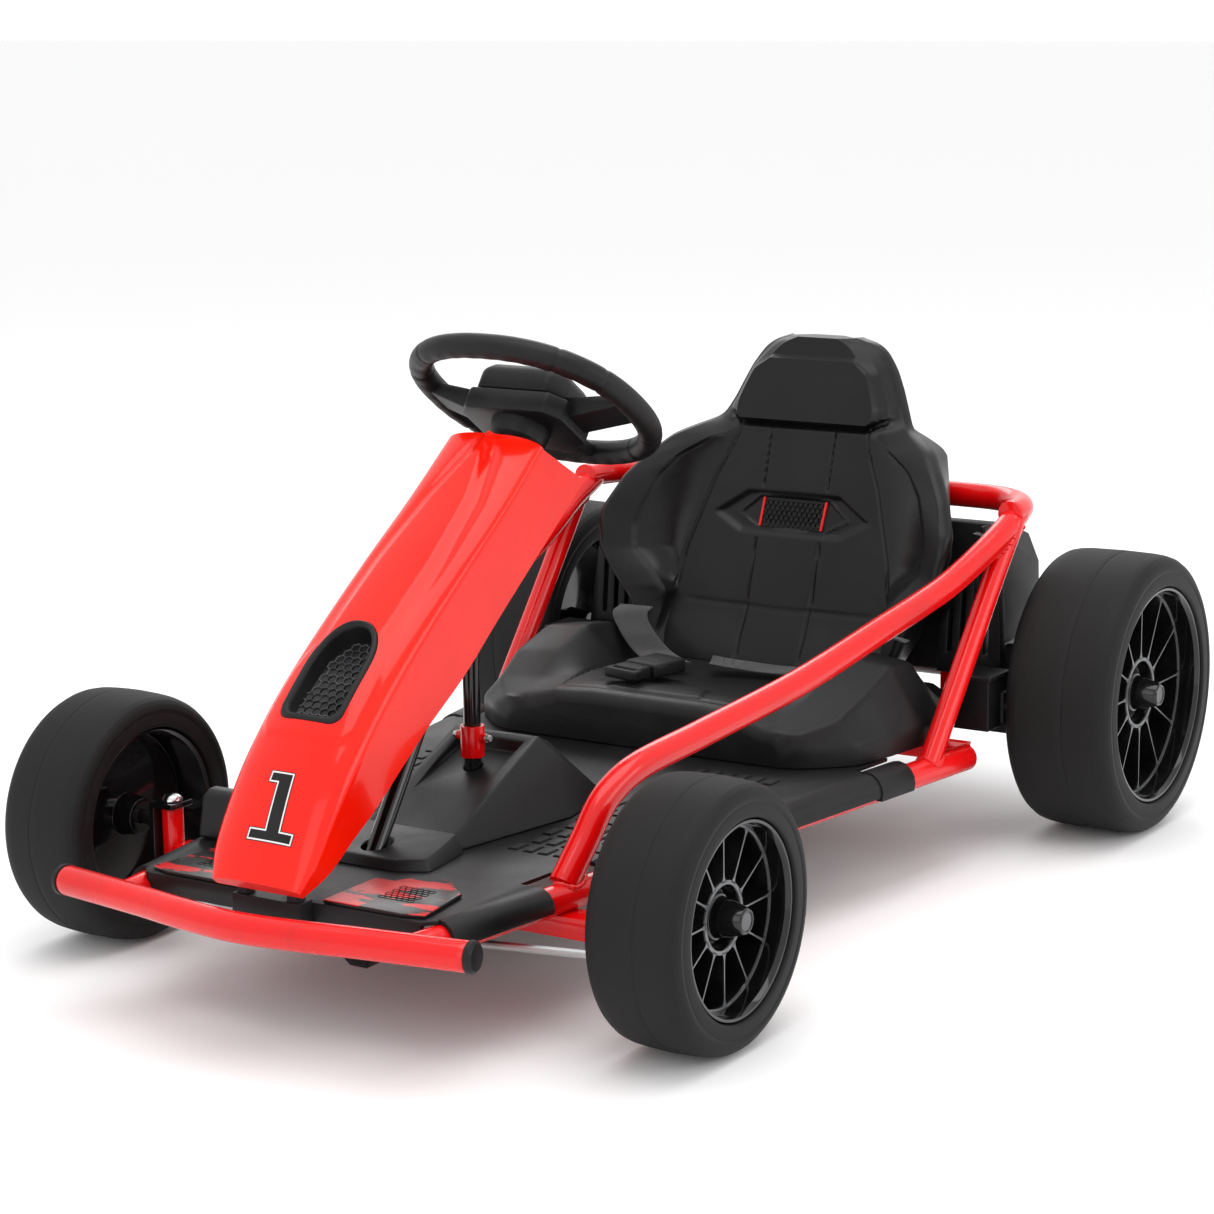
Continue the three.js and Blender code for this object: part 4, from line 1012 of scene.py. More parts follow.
def inside(y, z, corners):
    """How far a point is inside a convex outline given for one half, in mm; negative outside."""
    y, depth = np.abs(y), np.inf
    for (y0, z0), (y1, z1) in zip(corners, corners[1:]):
        run = math.hypot(y1 - y0, z1 - z0)
        depth = np.minimum(depth, ((z1 - z0) * (y - y0) - (y1 - y0) * (z - z0)) / run)
    return depth


EYE = [(0, 319.5), (53, 319), (93, 293), (57, 274), (0, 273.5)]
LENS = [(0, 312), (38, 311.5), (60, 293.5), (36, 281.5), (0, 281)]


def groove(distance, half, depth):
    return -depth * (1 - step(np.abs(distance), half * 0.35, half))


def panel_relief(y, z):
    """Grooves, eye and crease on the panel's face, in mm forward."""
    a = np.abs(y)
    eye, lens = inside(y, z, EYE), inside(y, z, LENS)
    out = -5.0 * step(eye, -0.5, 7.5) + 1.6 * step(lens, -3.4, -1.6) - 2.6 * step(lens, -1.2, 0.8)
    seam = np.where((z > 321) & (z < 381) | (z < 272) & (z > 158), 1.0, 0.0)
    out = out + seam * groove(a - 36.5, 2.0, 2.2)
    out = out + 1.8 * step(272 - z, 0, 90) * (1 - step(a, 22, 44)) * step(z, 160, 190)
    out = out + groove(z - 204 - 0.02 * a, 3.5, 0.9) * step(110 - a, 0, 8)
    return out


heights = np.unique(np.concatenate([np.arange(150.3, 452, 2.0), np.arange(452, 464, 1.2),
                                    np.linspace(464, SEAT_TOP, 8)]))
outline = eased(SEAT, heights, 2.5)
outline[-6:] = outline[-6:] * np.linspace(1, 0.9, 6)[:, None] ** 0.5
print("seat back:", len(heights), "rings")

# %% [markdown]
# Each ring is walked from the middle of the front round to the middle of the back on one side, then
# mirrored. The share of the way along each stretch is fixed, so the creases of the panel, scoop, band and
# edge run along mesh edges and stay crisp. The `gloss` attribute marks the scoops, which the seat finish
# polishes.

# %% Seat back mesh


def seat_ring(z, p, e, t, fwd, o, d):
    head, scooped = step(z, 381, 387), step(z, 212, 222) * (1 - step(z, 366, 377))
    edge = fwd * (0.5 - 0.1 * head)
    points, gloss = [], []
    for s in np.linspace(0, 1, 52):
        y = p * s
        points.append((panel_relief(y, z) + 6 * head * (1 - step(y, p - 3, p)) * (1 - step(z, 448, 452)), y))
        gloss.append(0)
    for s in np.linspace(0, 1, 24)[1:]:
        lift = edge * (s ** 1.7 * scooped + s * (1 - scooped))
        points.append((lift + groove(s * (e - p) - 2.2, 2.2, 1.6) * (1 - head) * step(z, 165, 185),
                       p + (e - p) * s))
        gloss.append(scooped * step(s, 0.08, 0.16) * (1 - step(s, 0.93, 0.99)))
    for s in np.linspace(0, 1, 15)[1:]:
        ridge = 3.2 * scooped * step(s, 0, 0.14)
        points.append((edge + ridge + (fwd - edge - 3.2 * scooped) * s, e + (t - e) * s))
        gloss.append(0)
    back = min(o, 155 if z < 384 else o)
    for s in np.linspace(0, 1, 9)[1:]:
        turn = s * math.pi / 2
        points.append((fwd - 12 * (1 - math.cos(turn)), t + (o - t) * math.sin(turn)))
        gloss.append(0)
    rear = [(-d + 12, 0.35 * o + 0.65 * back - 6), (-d, max(back - 24, 0.4 * o)), (-d, 0)]
    here = (fwd - 12, o)
    for x, y in rear:
        for s in np.linspace(0, 1, 9)[1:]:
            points.append((here[0] + (x - here[0]) * s, here[1] + (y - here[1]) * s))
            gloss.append(0)
        here = (x, y)
    throat = groove(z - np.interp([q[1] for q in points], [0, 70, 84, 112], [383.5, 383.5, 390, 396]), 4.2,
                    6.0) * (1 - step(np.array([q[1] for q in points]), 84, 98))
    front = np.array([q[0] for q in points]) > -d + 14
    x = panel_x(z) + np.array([q[0] for q in points]) + np.where(front, throat, 0)
    y = np.array([q[1] for q in points])
    ring = [at(a, b, z) for a, b in zip(x, y)] + [at(a, -b, z) for a, b in zip(x[-2:0:-1], y[-2:0:-1])]
    return ring, gloss + gloss[-2:0:-1]


rings, shine = [], []
for z, row in zip(heights, outline):
    ring, gloss = seat_ring(z, *row)
    rings.append(ring)
    shine += gloss
seat = mesh_piece("seat_back_shell", [p for ring in rings for p in ring],
                  ring_faces(len(rings), len(rings[0])))
seat.data.attributes.new("gloss", "FLOAT", "POINT").data.foreach_set("value", np.array(shine, np.float32))
recalculated(seat)
finish_piece(seat, "seat plastic", "seat_back", angle=40)
print("seat back:", len(seat.data.polygons), "faces")

# %% [markdown]
# The eye holds a glossy lens plate with a honeycomb of raised hexagons and two slanted red strips. The
# honeycomb is a grid of hexagon rims. A geometry tree lays them out by rule, every second row shifted half
# a cell, and drops the ones off the plate.

# %% Honeycomb tree


def honeycomb(name, place, side, up, outline_test, cell, wall, rise, finish, reach=60):
    """Hexagon rims on a plate. place is its middle in metres; side and up are its directions."""
    side, up = Vector(side).normalized(), Vector(up).normalized()
    normal = side.cross(up)
    spots = []
    pitch_u, pitch_v = cell * math.sqrt(3), cell * 1.5
    for row in range(-int(reach / pitch_v), int(reach / pitch_v) + 1):
        for column in range(-int(reach / pitch_u), int(reach / pitch_u) + 1):
            u, v = (column + (row % 2) / 2) * pitch_u, row * pitch_v
            if outline_test(u, v) > cell * 0.55:
                spots.append(Vector(place) + (side * u + up * v) * MM)
    cloud = points_piece(name + "_points", [(0, 0, 0)] * len(spots))
    flat = [(side.dot(p - Vector(place)), up.dot(p - Vector(place)), 0) for p in spots]
    cloud.data.vertices.foreach_set("co", np.array(flat, np.float32).ravel())
    piece = grow(name, scatter_flat,
                 {"Points": cloud, "Cell": cell * MM, "Wall": wall * MM, "Rise": rise * MM}, finish)
    bpy.data.objects.remove(cloud)
    piece.data.transform(Matrix.Translation(place) @ Matrix((side, up, normal)).transposed().to_4x4())
    return piece


def scatter_flat(graph, Points, Cell, Wall, Rise):
    ring = graph.node("GeometryNodeCurvePrimitiveCircle", {"mode": "RADIUS"},
                      {"Resolution": 6, "Radius": Cell})
    ring = graph.node("GeometryNodeTransform", sockets={0: ring, "Rotation": (0, 0, math.pi / 6)})
    bar = graph.node("GeometryNodeCurvePrimitiveQuadrilateral", {"mode": "RECTANGLE"},
                     {"Width": Wall, "Height": Rise})
    rim = graph.node("GeometryNodeCurveToMesh", sockets={"Curve": ring, "Profile Curve": bar})
    return scatter(graph, Points, rim, facing=False)


LENS_HIGH = 296.5  # height of the middle of the lens plate
LENS_SIDE = 34.5  # half the width that holds honeycomb
LENS_LEAN = 0.31  # how far the plate leans back for each mm of height
LENS_SHARE = 0.955  # height gained for each mm along the leaning plate
lean = Vector((-LENS_LEAN, 0, 1)).normalized()
lens_place = at(panel_x(LENS_HIGH) - 5.0, 0, LENS_HIGH)


def lens_test(u, v):
    """How far a spot on the lens plate is inside the honeycomb's part of it, in mm."""
    return min(float(inside(np.array(u), np.array(LENS_HIGH + v * LENS_SHARE), LENS)),
               LENS_SIDE - abs(u + 0.1 * v))


comb = honeycomb("eye_honeycomb", lens_place, (0, 1, 0), lean, lens_test, 3.3, 0.7, 1.0, "dark mesh")
finish_piece(comb, None, body="chassis", angle=30)

strips = []
for s in (1, -1):
    corners = [(35.4 * s + 1.6, 14.6), (35.4 * s - 0.6, 14.6), (35.0 * s - 2.6, -14.8),
               (35.0 * s - 0.4, -14.8)]
    points = [lens_place + Vector((0, u * MM, 0)) + lean * v * MM + Vector((depth, 0, LENS_LEAN * depth))
              for depth in (-0.001, 0.0012) for u, v in corners]
    faces = [(0, 1, 2, 3), (7, 6, 5, 4), (0, 4, 5, 1), (1, 5, 6, 2), (2, 6, 7, 3), (3, 7, 4, 0)]
    strips.append(outward(mesh_piece("eye_strip", points, faces)))
finish_piece(joined("eye_strips_red", strips), "red paint", body="chassis", angle=30)
print("honeycomb cells:", len(comb.data.polygons) // 24)

# %% [markdown]
# ## Nose shell
# The nose is a long bonnet over the steering column. Its cross-section is a soft arch whose shoulders turn
# down into flat flanks. Ten stations are blended into a fine grid, then a relief formula raises the tongue
# that runs from the steering wheel to the air intake and the lip round the intake. Solidify gives it a 3 mm
# wall, and a boolean cuts the intake.

# %% Nose stations
NOSE = np.array([  # centre line x, z; shoulder x, z; lower edge x, z; half width; lower half width
    (184, 138, 178, 133, 174, 129, 44, 43), (174, 162, 163, 153, 152, 144, 51, 52),
    (156, 193, 142, 181, 124, 166, 53.5, 56),
    (134, 224, 119, 209, 95, 185, 54.5, 57.5), (101, 259, 87, 244, 57, 211, 54, 57),
    (68, 289, 54, 273, 19, 236, 53, 56),
    (20, 325, 7, 310, -32, 266, 52, 55), (-37, 364, -48, 350, -86, 305, 51.5, 54),
    (-100, 406, -110, 393, -150, 350, 50.5, 53),
    (-157, 449, -167, 436, -224, 402, 49, 52)], float)
INTAKE_AT = np.array([70, 0, 287])
ARCH = [(-51, 23), (-40, 31.5), (0, 30.5), (22, 26), (39, 16), (47, 8), (51, 0)]
run = np.concatenate([[0], np.cumsum(np.hypot(np.diff(NOSE[:, 0]), np.diff(NOSE[:, 1])))])


def station(t):
    """The eight measures at a distance t mm from the tip, blended smoothly."""
    k = int(np.clip(np.searchsorted(run, t) - 1, 0, len(run) - 2))
    s = (t - run[k]) / (run[k + 1] - run[k])
    span = run[k + 1] - run[k]

    def slope(i):
        if i in (0, len(run) - 1):
            j = min(i, len(run) - 2)
            return (NOSE[j + 1] - NOSE[j]) / (run[j + 1] - run[j])
        return (NOSE[i + 1] - NOSE[i - 1]) / (run[i + 1] - run[i - 1])

    a, b, c, d = NOSE[k], slope(k) * span, NOSE[k + 1], slope(k + 1) * span
    return a * (2 * s**3 - 3 * s**2 + 1) + b * (s**3 - 2 * s**2 + s) + c * (-2 * s**3 + 3 * s**2) + d * (s**3
        - s**2)


def arch_depth(u, v, grow=0.0):
    """Signed distance inside the intake's arch outline, by its sides, in mm."""
    corners = [(a + grow * np.sign(a), b + grow if b else 0) for a, b in ARCH]
    corners = [(corners[0][0], 0)] + corners
    v, depth = abs(v), 1e9
    for (u0, v0), (u1, v1) in zip(corners, corners[1:]):
        length = math.hypot(u1 - u0, v1 - v0) or 1
        depth = min(depth, ((v - v0) * (u1 - u0) - (u - u0) * (v1 - v0)) / -length)
    return depth


def on_slope(point):
    """Distances up the slope and across from the middle of the intake."""
    d = np.array(point) - INTAKE_AT
    return -0.8 * d[0] + 0.6 * d[2], d[1]


def nose_relief(t, y, point):
    """Raised tongue, side channels and intake lip, in mm above the plain arch."""
    total = run[-1]
    down = (total - t) / (total - 215)  # 0 at the steering wheel end, 1 at the intake
    out = 0.0
    if 0 <= down < 1.3:
        half = np.interp(down, [0, 0.05, 0.12, 0.3, 0.6, 1.3], [2.5, 4, 9, 20, 27, 30])
        rise = np.interp(down, [0, 0.06, 0.16, 0.5, 0.9, 1.05], [3.6, 3.4, 3.0, 2.4, 1.6, 0])
        out += rise * (1 - step(abs(y), half - 3.5, half + 2.5))
        out -= np.interp(down, [0, 0.1, 0.3, 0.8, 1.1],
                         [0.4, 2.6, 2.2, 1.0, 0]) * math.exp(-((abs(y) - half - 7) / 5.5) ** 2)
    u, v = on_slope(point)
    edge = arch_depth(u, v, 13.0 - 4 * step(u, -20, 30))
    out += 1.3 * step(edge, -2.0, 1.5) * (1 - step(u, 10, 34))
    return out


ACROSS = 34


def nose_row(t):
    cx, cz, kx, kz, fx, fz, w, g = station(t)
    n = np.array([cx - kx, 0, cz - kz])
    n /= np.linalg.norm(n)
    turn = math.pi * np.linspace(0, 1, 2 * ACROSS + 1)
    e = 2 / 2.4
    row = []
    for s in np.linspace(0, 1, 9)[:-1]:
        row.append(np.array([fx + (kx - fx) * s, g + (w - g) * s, fz + (kz - fz) * s]))
    for a in turn:
        y = math.copysign(abs(math.cos(a)) ** e, math.cos(a)) * w
        lift = math.sin(a) ** e
        base = np.array([kx + (cx - kx) * lift, y, kz + (cz - kz) * lift])
        row.append(base + n * nose_relief(t, y, base) * step(lift, 0.25, 0.6))
    for s in np.linspace(1, 0, 9)[1:]:
        row.append(np.array([fx + (kx - fx) * s, -g - (w - g) * s, fz + (kz - fz) * s]))
    return row


rows = [nose_row(t) for t in np.linspace(0, run[-1], 150)]
wide = len(rows[0])
points = [at(*p) for row in rows for p in row]
faces = [(i * wide + j, i * wide + j + 1, (i + 1) * wide + j + 1, (i + 1) * wide + j)
         for i in range(len(rows) - 1) for j in range(wide - 1)]
faces.append(tuple(reversed(range(wide))))
nose = mesh_piece("nose_shell_bonnet", points, faces)
bm = bmesh.new()
bm.from_mesh(nose.data)
bmesh.ops.recalc_face_normals(bm, faces=bm.faces)
if sum(f.normal.z for f in bm.faces) < 0:
    bmesh.ops.reverse_faces(bm, faces=bm.faces)
bm.to_mesh(nose.data)
bm.free()
print("nose:", len(rows), "stations of", wide, "points")

# %% [markdown]
# The wall goes on inward. The cutter is the intake's arch as a block across the slope.

# %% Nose wall and intake cut
wall = nose.modifiers.new("wall", "SOLIDIFY")
wall.thickness, wall.offset = 0.003, -1
apply_modifiers(nose)
SLOPE = Matrix(((-0.8, 0, 0.6), (0, -1, 0), (0.6, 0, 0.8))).to_4x4()


def fine_arch(grow, count=26):
    """The intake's outline: a flat lower edge, straight sides and a round top, as points anticlockwise."""
    top, side, low = 51 + grow, 30.5 + grow, -51 - grow
    arc = [(top * math.sin(a), side * (1 - math.sin(a) ** 2.3) ** (1 / 2.2))
           for a in np.linspace(0, math.pi / 2, count)]
    corner = [(low + 11 - 11 * math.cos(a), side - 11 + 11 * math.sin(a))
              for a in np.linspace(0, math.pi / 2, 9)]
    half = [(low, 0)] + corner + [(-20, side)] + arc
    return half + [(a, -b) for a, b in reversed(half[1:-1])]


def arch_block(name, grow, low, high):
    outline = fine_arch(grow)
    n = len(outline)
    points = [(u * MM, v * MM, h * MM) for h in (low, high) for u, v in outline]
    faces = [tuple(reversed(range(n))), tuple(range(n, 2 * n))] + [(i, (i + 1) % n, n + (i + 1) % n, n + i)
        for i in range(n)]
    block = mesh_piece(name, points, faces)
    block.data.transform(Matrix.Translation(at(*INTAKE_AT)) @ SLOPE)
    return outward(block)


cutter = arch_block("intake_cutter", 0.4, -30, 25)
cut = nose.modifiers.new("cut", "BOOLEAN")
cut.object, cut.operation, cut.solver = cutter, "DIFFERENCE", "EXACT"
apply_modifiers(nose)
bpy.data.objects.remove(cutter)
finish_piece(nose, "red shell", "nose_shell", angle=38)
print("nose faces:", len(nose.data.polygons))

# %% [markdown]
# The intake is a black tray let into that hole: a rim that swells just proud of the shell, a tapered
# throat, and a honeycomb grille at the bottom. Its rim is one outline carried inwards in steps, each lower
# and smaller than the last.

# %% Intake tray
TRAY = ((0.0, -16.5), (0.0, 0.4), (-0.5, 1.5), (-1.8, 2.2), (-3.4, 1.9), (-5.0, 0.6), (-6.0, -3), (-7.5, -13),
        (-8.0, -14))


def shell_height(u, v):
    """Height of the plain shell above the slope plane, by the station that crosses there."""
    best = min(rows, key=lambda row: abs(on_slope(row[8 + ACROSS])[0] - u))
    y = min(best[8:-8], key=lambda p: abs(p[1] - v))
    d = y - INTAKE_AT
    return 0.6 * d[0] + 0.8 * d[2]


TRAY_FLAT, TRAY_FLAT_LIFT = -6, -1.0  # below this height a ring lies flat
levels = []
for spread, height in TRAY:
    ring = []
    for u, v in fine_arch(spread):
        lift = shell_height(u, -v) if height > TRAY_FLAT else TRAY_FLAT_LIFT
        ring.append((u * MM, v * MM, (lift * step(height, -12, -1) + height) * MM))
    levels.append(ring)
tray = outward(mesh_piece("nose_intake_tray", [p for ring in levels for p in ring],
                          ring_faces(len(levels), len(levels[0]))))
tray.data.transform(Matrix.Translation(at(*INTAKE_AT)) @ SLOPE)
finish_piece(tray, "black plastic", "nose_intake", angle=60)
grille_up = Vector((-0.8, 0, 0.6))
grille_at = at(*(INTAKE_AT + np.array([0.6, 0, 0.8]) * -13.4))
grille = honeycomb("intake_honeycomb", grille_at, (0, 1, 0), grille_up, lambda u, v: arch_depth(v, u) - 8.5,
                   4.6, 0.8, 1.6, "cap grey", 52)
finish_piece(grille, None, body="chassis", angle=30)

# %% [markdown]
# The starting number is a plain slab "1", a generic racing number, as thin printed layers: black, a white
# line, and black again. Each layer is the glyph's outline moved out a little, laid on the shell a twentieth
# of a millimetre above the last.

# %% Starting number
GLYPH = [(-19, -27), (21, -27), (21, -20), (8.5, -20), (4.5, 28), (-15, 28), (-15, 21.5), (-6.5, 21.5),
         (-3.5, -20), (-19, -20)]
for name, flat, dark, pale in (("number black", 0.006, 0.005, 0.012), ("number white", 0.8, 0.66, 0.84)):
    ink = Finish(name.replace(" ", "_"), (flat,) * 3, 0.3)
    ink.wire(
        roughness=0.24 + 0.2 * ink.cloud(90, 4.0),
        base_color=ink.blend(ink.cloud(40), (dark,) * 3, (pale,) * 3))
    finishes[name] = ink.material
SLOTS["number black"], SLOTS["number white"] = "black_plastic", "red_plastic"


def outset(corners, distance):
    """The outline moved outwards by a distance; corners run anticlockwise."""
    out = []
    for i, corner in enumerate(corners):
        before, after = np.array(corners[i - 1]), np.array(corners[(i + 1) % len(corners)])
        a, b = np.array(corner) - before, after - np.array(corner)
        na, nb = np.array([a[1], -a[0]]) / np.linalg.norm(a), np.array([b[1], -b[0]]) / np.linalg.norm(b)
        out.append(tuple(np.array(corner) + distance * (na + nb) / (1 + na @ nb)))
    return out


def on_shell(y, b, lift):
    """The point of the shell y mm across and b mm up the slope from the number's middle."""
    t = 62 + b
    row = np.array(nose_row(t))
    top = row[8:-8]
    point = np.array([np.interp(-y, -top[:, 1], top[:, k]) for k in (0, 2)])
    cx, cz, kx, kz = station(t)[:4]
    n = np.array([cx - kx, cz - kz]) / math.hypot(cx - kx, cz - kz)
    return at(point[0] + n[0] * lift, y, point[1] + n[1] * lift)


def printed(name, corners, lift, finish):
    flat = mesh_piece(name, [(a * MM, b * MM, 0) for a, b in corners], [tuple(range(len(corners)))])
    bm = bmesh.new()
    bm.from_mesh(flat.data)
    bmesh.ops.triangulate(bm, faces=bm.faces)
    for _ in range(3):
        long = [e for e in bm.edges if e.calc_length() > 0.006]
        bmesh.ops.subdivide_edges(bm, edges=long, cuts=2)
        bmesh.ops.triangulate(bm, faces=bm.faces)
    for v in bm.verts:
        v.co = on_shell(v.co.x / MM + 6, v.co.y / MM, lift)
    bm.normal_update()
    if sum(f.normal.z for f in bm.faces) < 0:
        bmesh.ops.reverse_faces(bm, faces=bm.faces)
    bm.to_mesh(flat.data)
    bm.free()
    return finish_piece(flat, finish, body="chassis", angle=60)


printed("number_edge", outset(GLYPH, 2.0), 0.22, "number black")
printed("number_outline", outset(GLYPH, 1.3), 0.30, "number white")
printed("number_one", GLYPH, 0.38, "number black")
print("starting number laid on the shell")

# %% [markdown]
# ## Softening the boxy parts
# Brackets, boxes and covers are plain shapes whose character is in their edges. Each is a copy of its frame
# solid with the doubles merged, flat areas joined into single faces, and every corner rolled over by a
# bevel of its own size. Blocks made here are the convex hull of a few corners, bevelled the same way.

# %% Bevelled blocks


def rolled(piece, bevel, segments=3, angle=24):
    """Rounds a closed mesh's corners; bevel in mm."""
    shape = bmesh.new()
    shape.from_mesh(piece.data)
    bmesh.ops.remove_doubles(shape, verts=shape.verts, dist=2e-5)
    bmesh.ops.dissolve_limit(shape, angle_limit=math.radians(1.0), verts=shape.verts, edges=shape.edges)
    shape.to_mesh(piece.data)
    shape.free()
    bevelled = piece.modifiers.new("bevel", "BEVEL")
    bevelled.width, bevelled.segments, bevelled.limit_method = bevel * MM, segments, "ANGLE"
    bevelled.angle_limit = math.radians(angle)
    return apply_modifiers(piece)


def softened(node, bevel, segments=3, angle=24):
    piece = bpy.data.objects.new(node + "_soft", frame["nodes"][node].data.copy())
    bpy.context.scene.collection.objects.link(piece)
    return rolled(piece, bevel, segments, angle)


def block(name, corners, bevel, place=None, segments=3):
    """The hull of some corners in mm, bevelled. Without a matrix for place, they count from the axle."""
    shape = bmesh.new()
    for corner in corners:
        shape.verts.new(Vector(corner) * MM if place else at(*corner))
    hull = bmesh.ops.convex_hull(shape, input=shape.verts)
    bmesh.ops.delete(shape, geom=[g
                                  for g in hull["geom_interior"] + hull["geom_unused"]
                                  if isinstance(g, bmesh.types.BMVert)], context="VERTS")
    piece = mesh_piece(name, [(0, 0, 0)], [])
    shape.to_mesh(piece.data)
    shape.free()
    piece = rolled(outward(piece), bevel, segments)
    if place:
        piece.data.transform(place)
    return piece


def brick(name, x, y, z, bevel, place=None):
    return block(name, [(a, b, c) for a in x for b in y for c in z], bevel, place)


PLAIN = (  # node, finish, bevel in mm
    ("front_axle_beam", "red paint", 1.4), ("skid_block", "black plastic", 2.5),
    ("nose_bracket", "black plastic", 1.6),
    ("rear_subframe", "red paint", 1.2), ("rear_axle", "zinc", 0.8), ("support_post", "gloss black", 0.8),
    ("post_socket", "red paint", 1.0),
    ("pedal_housing", "black plastic", 3.5), ("steering_column", "gloss black", 0.8),
    ("floor_pan", "black plastic", 1.0),
    ("steering_tunnel", "black plastic", 3.0), ("rear_body", "black plastic", 5.0),
)
for node, finish, bevel in PLAIN:
    finish_piece(softened(node, bevel), finish, node)
PAIRED = (
    ("knuckle", "gloss black", 1.0), ("kingpin", "chrome", 1.2), ("tie_rod", "zinc", 0.6),
    ("gearbox", "black plastic", 3.0),
    ("foot_pad", "pad print", 0.9), ("louvre", "black plastic", 1.6), ("side_box", "black plastic", 1.8),
)
for node, finish, bevel in PAIRED:
    for side, s in SIDES:
        finish_piece(softened(f"{node}_{side}", bevel), finish, f"{node}_{side}")
print(len(PLAIN) + 2 * len(PAIRED), "softened pieces")

# %% [markdown]
# Small fittings sit on those parts: bolts with hexagon heads and washers, the floor's raised tread blocks
# and rings on the foot pads. The bolts and tread blocks are laid by one geometry tree each.

# %% Fittings


def bolt_build(graph, Points, Head):
    washer = graph.node("GeometryNodeMeshCylinder",
                        sockets={"Vertices": 24, "Radius": Head * 1.35, "Depth": Head * 0.3})
    head = graph.node("GeometryNodeMeshCylinder",
                      sockets={"Vertices": 6, "Radius": Head, "Depth": Head * 1.1})
    head = graph.node("GeometryNodeTransform", sockets={0: head, "Translation": (0, 0, 0.0022)})
    both_parts = graph.node("GeometryNodeJoinGeometry")
    for part in (washer, head):
        graph.tree.links.new(part.socket, both_parts.socket.node.inputs[0])
    return scatter(graph, Points, both_parts)


def bolts(name, spots, facing, head, finish, body="chassis"):
    cloud = points_piece(name + "_points", [at(*p) for p in spots], facing)
    piece = grow(name, bolt_build, {"Points": cloud, "Head": head * MM}, finish)
    bpy.data.objects.remove(cloud)
    return finish_piece(piece, None, body=body, angle=30)


def tread_build(graph, Points, Long, Wide, Rise):
    size = graph.node("ShaderNodeCombineXYZ", sockets={0: Long, 1: Wide, 2: Rise})
    low = graph.node("GeometryNodeMeshCube", sockets={"Size": size})
    cap = graph.node("ShaderNodeCombineXYZ", sockets={0: Long - 0.002, 1: Wide - 0.002, 2: Rise * 1.8})
    high = graph.node("GeometryNodeMeshCube", sockets={"Size": cap})
    parts = graph.node("GeometryNodeJoinGeometry")
    for part in (low, high):
        graph.tree.links.new(part.socket, parts.socket.node.inputs[0])
    return scatter(graph, Points, parts, uneven(graph, 0.97, 1.0, 2), facing=False)


spots = [at(x, s * y, 118.1) for s in (1, -1) for i, x in enumerate(range(-62, -372, -26))
         for y in range(86 + 6 * (i % 2), 168, 15)]
cloud = points_piece("tread_points", spots)
tread = grow("floor_tread_blocks", tread_build,
             {"Points": cloud, "Long": 0.019, "Wide": 0.0095, "Rise": 0.0014}, "black plastic")
bpy.data.objects.remove(cloud)
finish_piece(tread, None, body="chassis", angle=30)
bolts("socket_bolts", [(-121, 15.4, 190), (-121, -15.4, 190)], [(0, 1, 0), (0, -1, 0)], 2.8, "zinc")
bolts("box_bolts", [(-651, s * 256.2, 136) for s in (1, -1)], [(0, 1, 0), (0, -1, 0)], 2.6, "zinc")
for side, s in SIDES:
    rings = honeycomb(f"pad_rings_{side}", at(104, s * 92, 121.4), (0, 1, 0), (-1, 0, 0), lambda u,
                      v: min(16 - abs(u), 20 - abs(v)), 3.2, 0.5, 0.9, "dark mesh", 24)
    finish_piece(rings, None, body="chassis", angle=30)
print("tread blocks:", len(spots))

# %% [markdown]
# ## Steering wheel
# The wheel is drawn square to its column and then leaned back with it. Its rim is a rounded square ring, a
# little shorter fore and aft. The rubber grip is moulded in lengths, so fine joints run round it where they
# meet.

# %% Steering wheel
LEAN = math.radians(35)
ON_COLUMN = Matrix.Translation(at(27, 0, 117)) @ Matrix.Rotation(-LEAN, 4, "Y")
RING = {"R": 102, "r": 11.0, "length": 0.958, "power": 2.3, "x": -7, "z": 434}
JOINTS = (38, 62, 118, 142, 218, 242, 298, 322)


def ring_point(turn, tube_turn, r):
    c, s = math.cos(turn), math.sin(turn)
    k = (abs(c) ** RING["power"] + abs(s) ** RING["power"]) ** (-1 / RING["power"])
    out = RING["R"] * k + r * math.cos(tube_turn)
    return (RING["x"] + out * c * RING["length"], out * s, RING["z"] + r * math.sin(tube_turn))


grip_points, around, over = [], 360, 28
for i in range(around):
    turn = 2 * math.pi * i / around
    dip = max(math.exp(-((((i * 360 / around - j + 180) % 360 - 180) / 0.9) ** 2)) for j in JOINTS)
    for k in range(over):
        angle = 2 * math.pi * k / over
        swell = 0.5 * math.exp(-((angle - 4.7) / 0.6) ** 2) * (0.5 + 0.5 * math.cos(turn * 36))
        grip_points.append(tuple(c * MM for c in ring_point(turn, angle, RING["r"] - 0.9 * dip - swell)))
faces = [(i * over + k, ((i + 1) % around) * over + k, ((i + 1) % around) * over + (k + 1) % over,
          i * over + (k + 1) % over)
         for i in range(around) for k in range(over)]
grip = outward(mesh_piece("steering_wheel_grip", grip_points, faces))
grip.data.transform(ON_COLUMN)
finish_piece(grip, "grip", "steering_wheel", angle=50)

arms = []
for s in (1, -1):
    arms.append(block("arm", [(-22, s * 44, 410), (10, s * 44, 410), (-22, s * 44, 430), (12, s * 44, 430),
                              (-20, s * 99, 425), (14, s * 99, 425), (-20, s * 99, 436), (14, s * 99, 436)],
                              3.0, ON_COLUMN))
arms.append(block("arm", [(-40, y, z) for y in (-18, 18) for z in (412, 428)] + [(-100, y, z)
    for y in (-15, 15) for z in (427, 438)], 3.0, ON_COLUMN))
plate = [(-44, -30), (-44, 30), (-26, 52), (20, 52), (34, 40), (34, -40), (20, -52), (-26, -52)]
arms.append(block("plate", [(x, y, z) for x, y in plate for z in (404, 424)], 2.5, ON_COLUMN))
collar = lathe("collar", Vector(),
               rounded([(8.3, 382), (20, 382), (21, 384), (25, 390), (27, 405), (8.3, 405)], 1.2), 72, "Z")
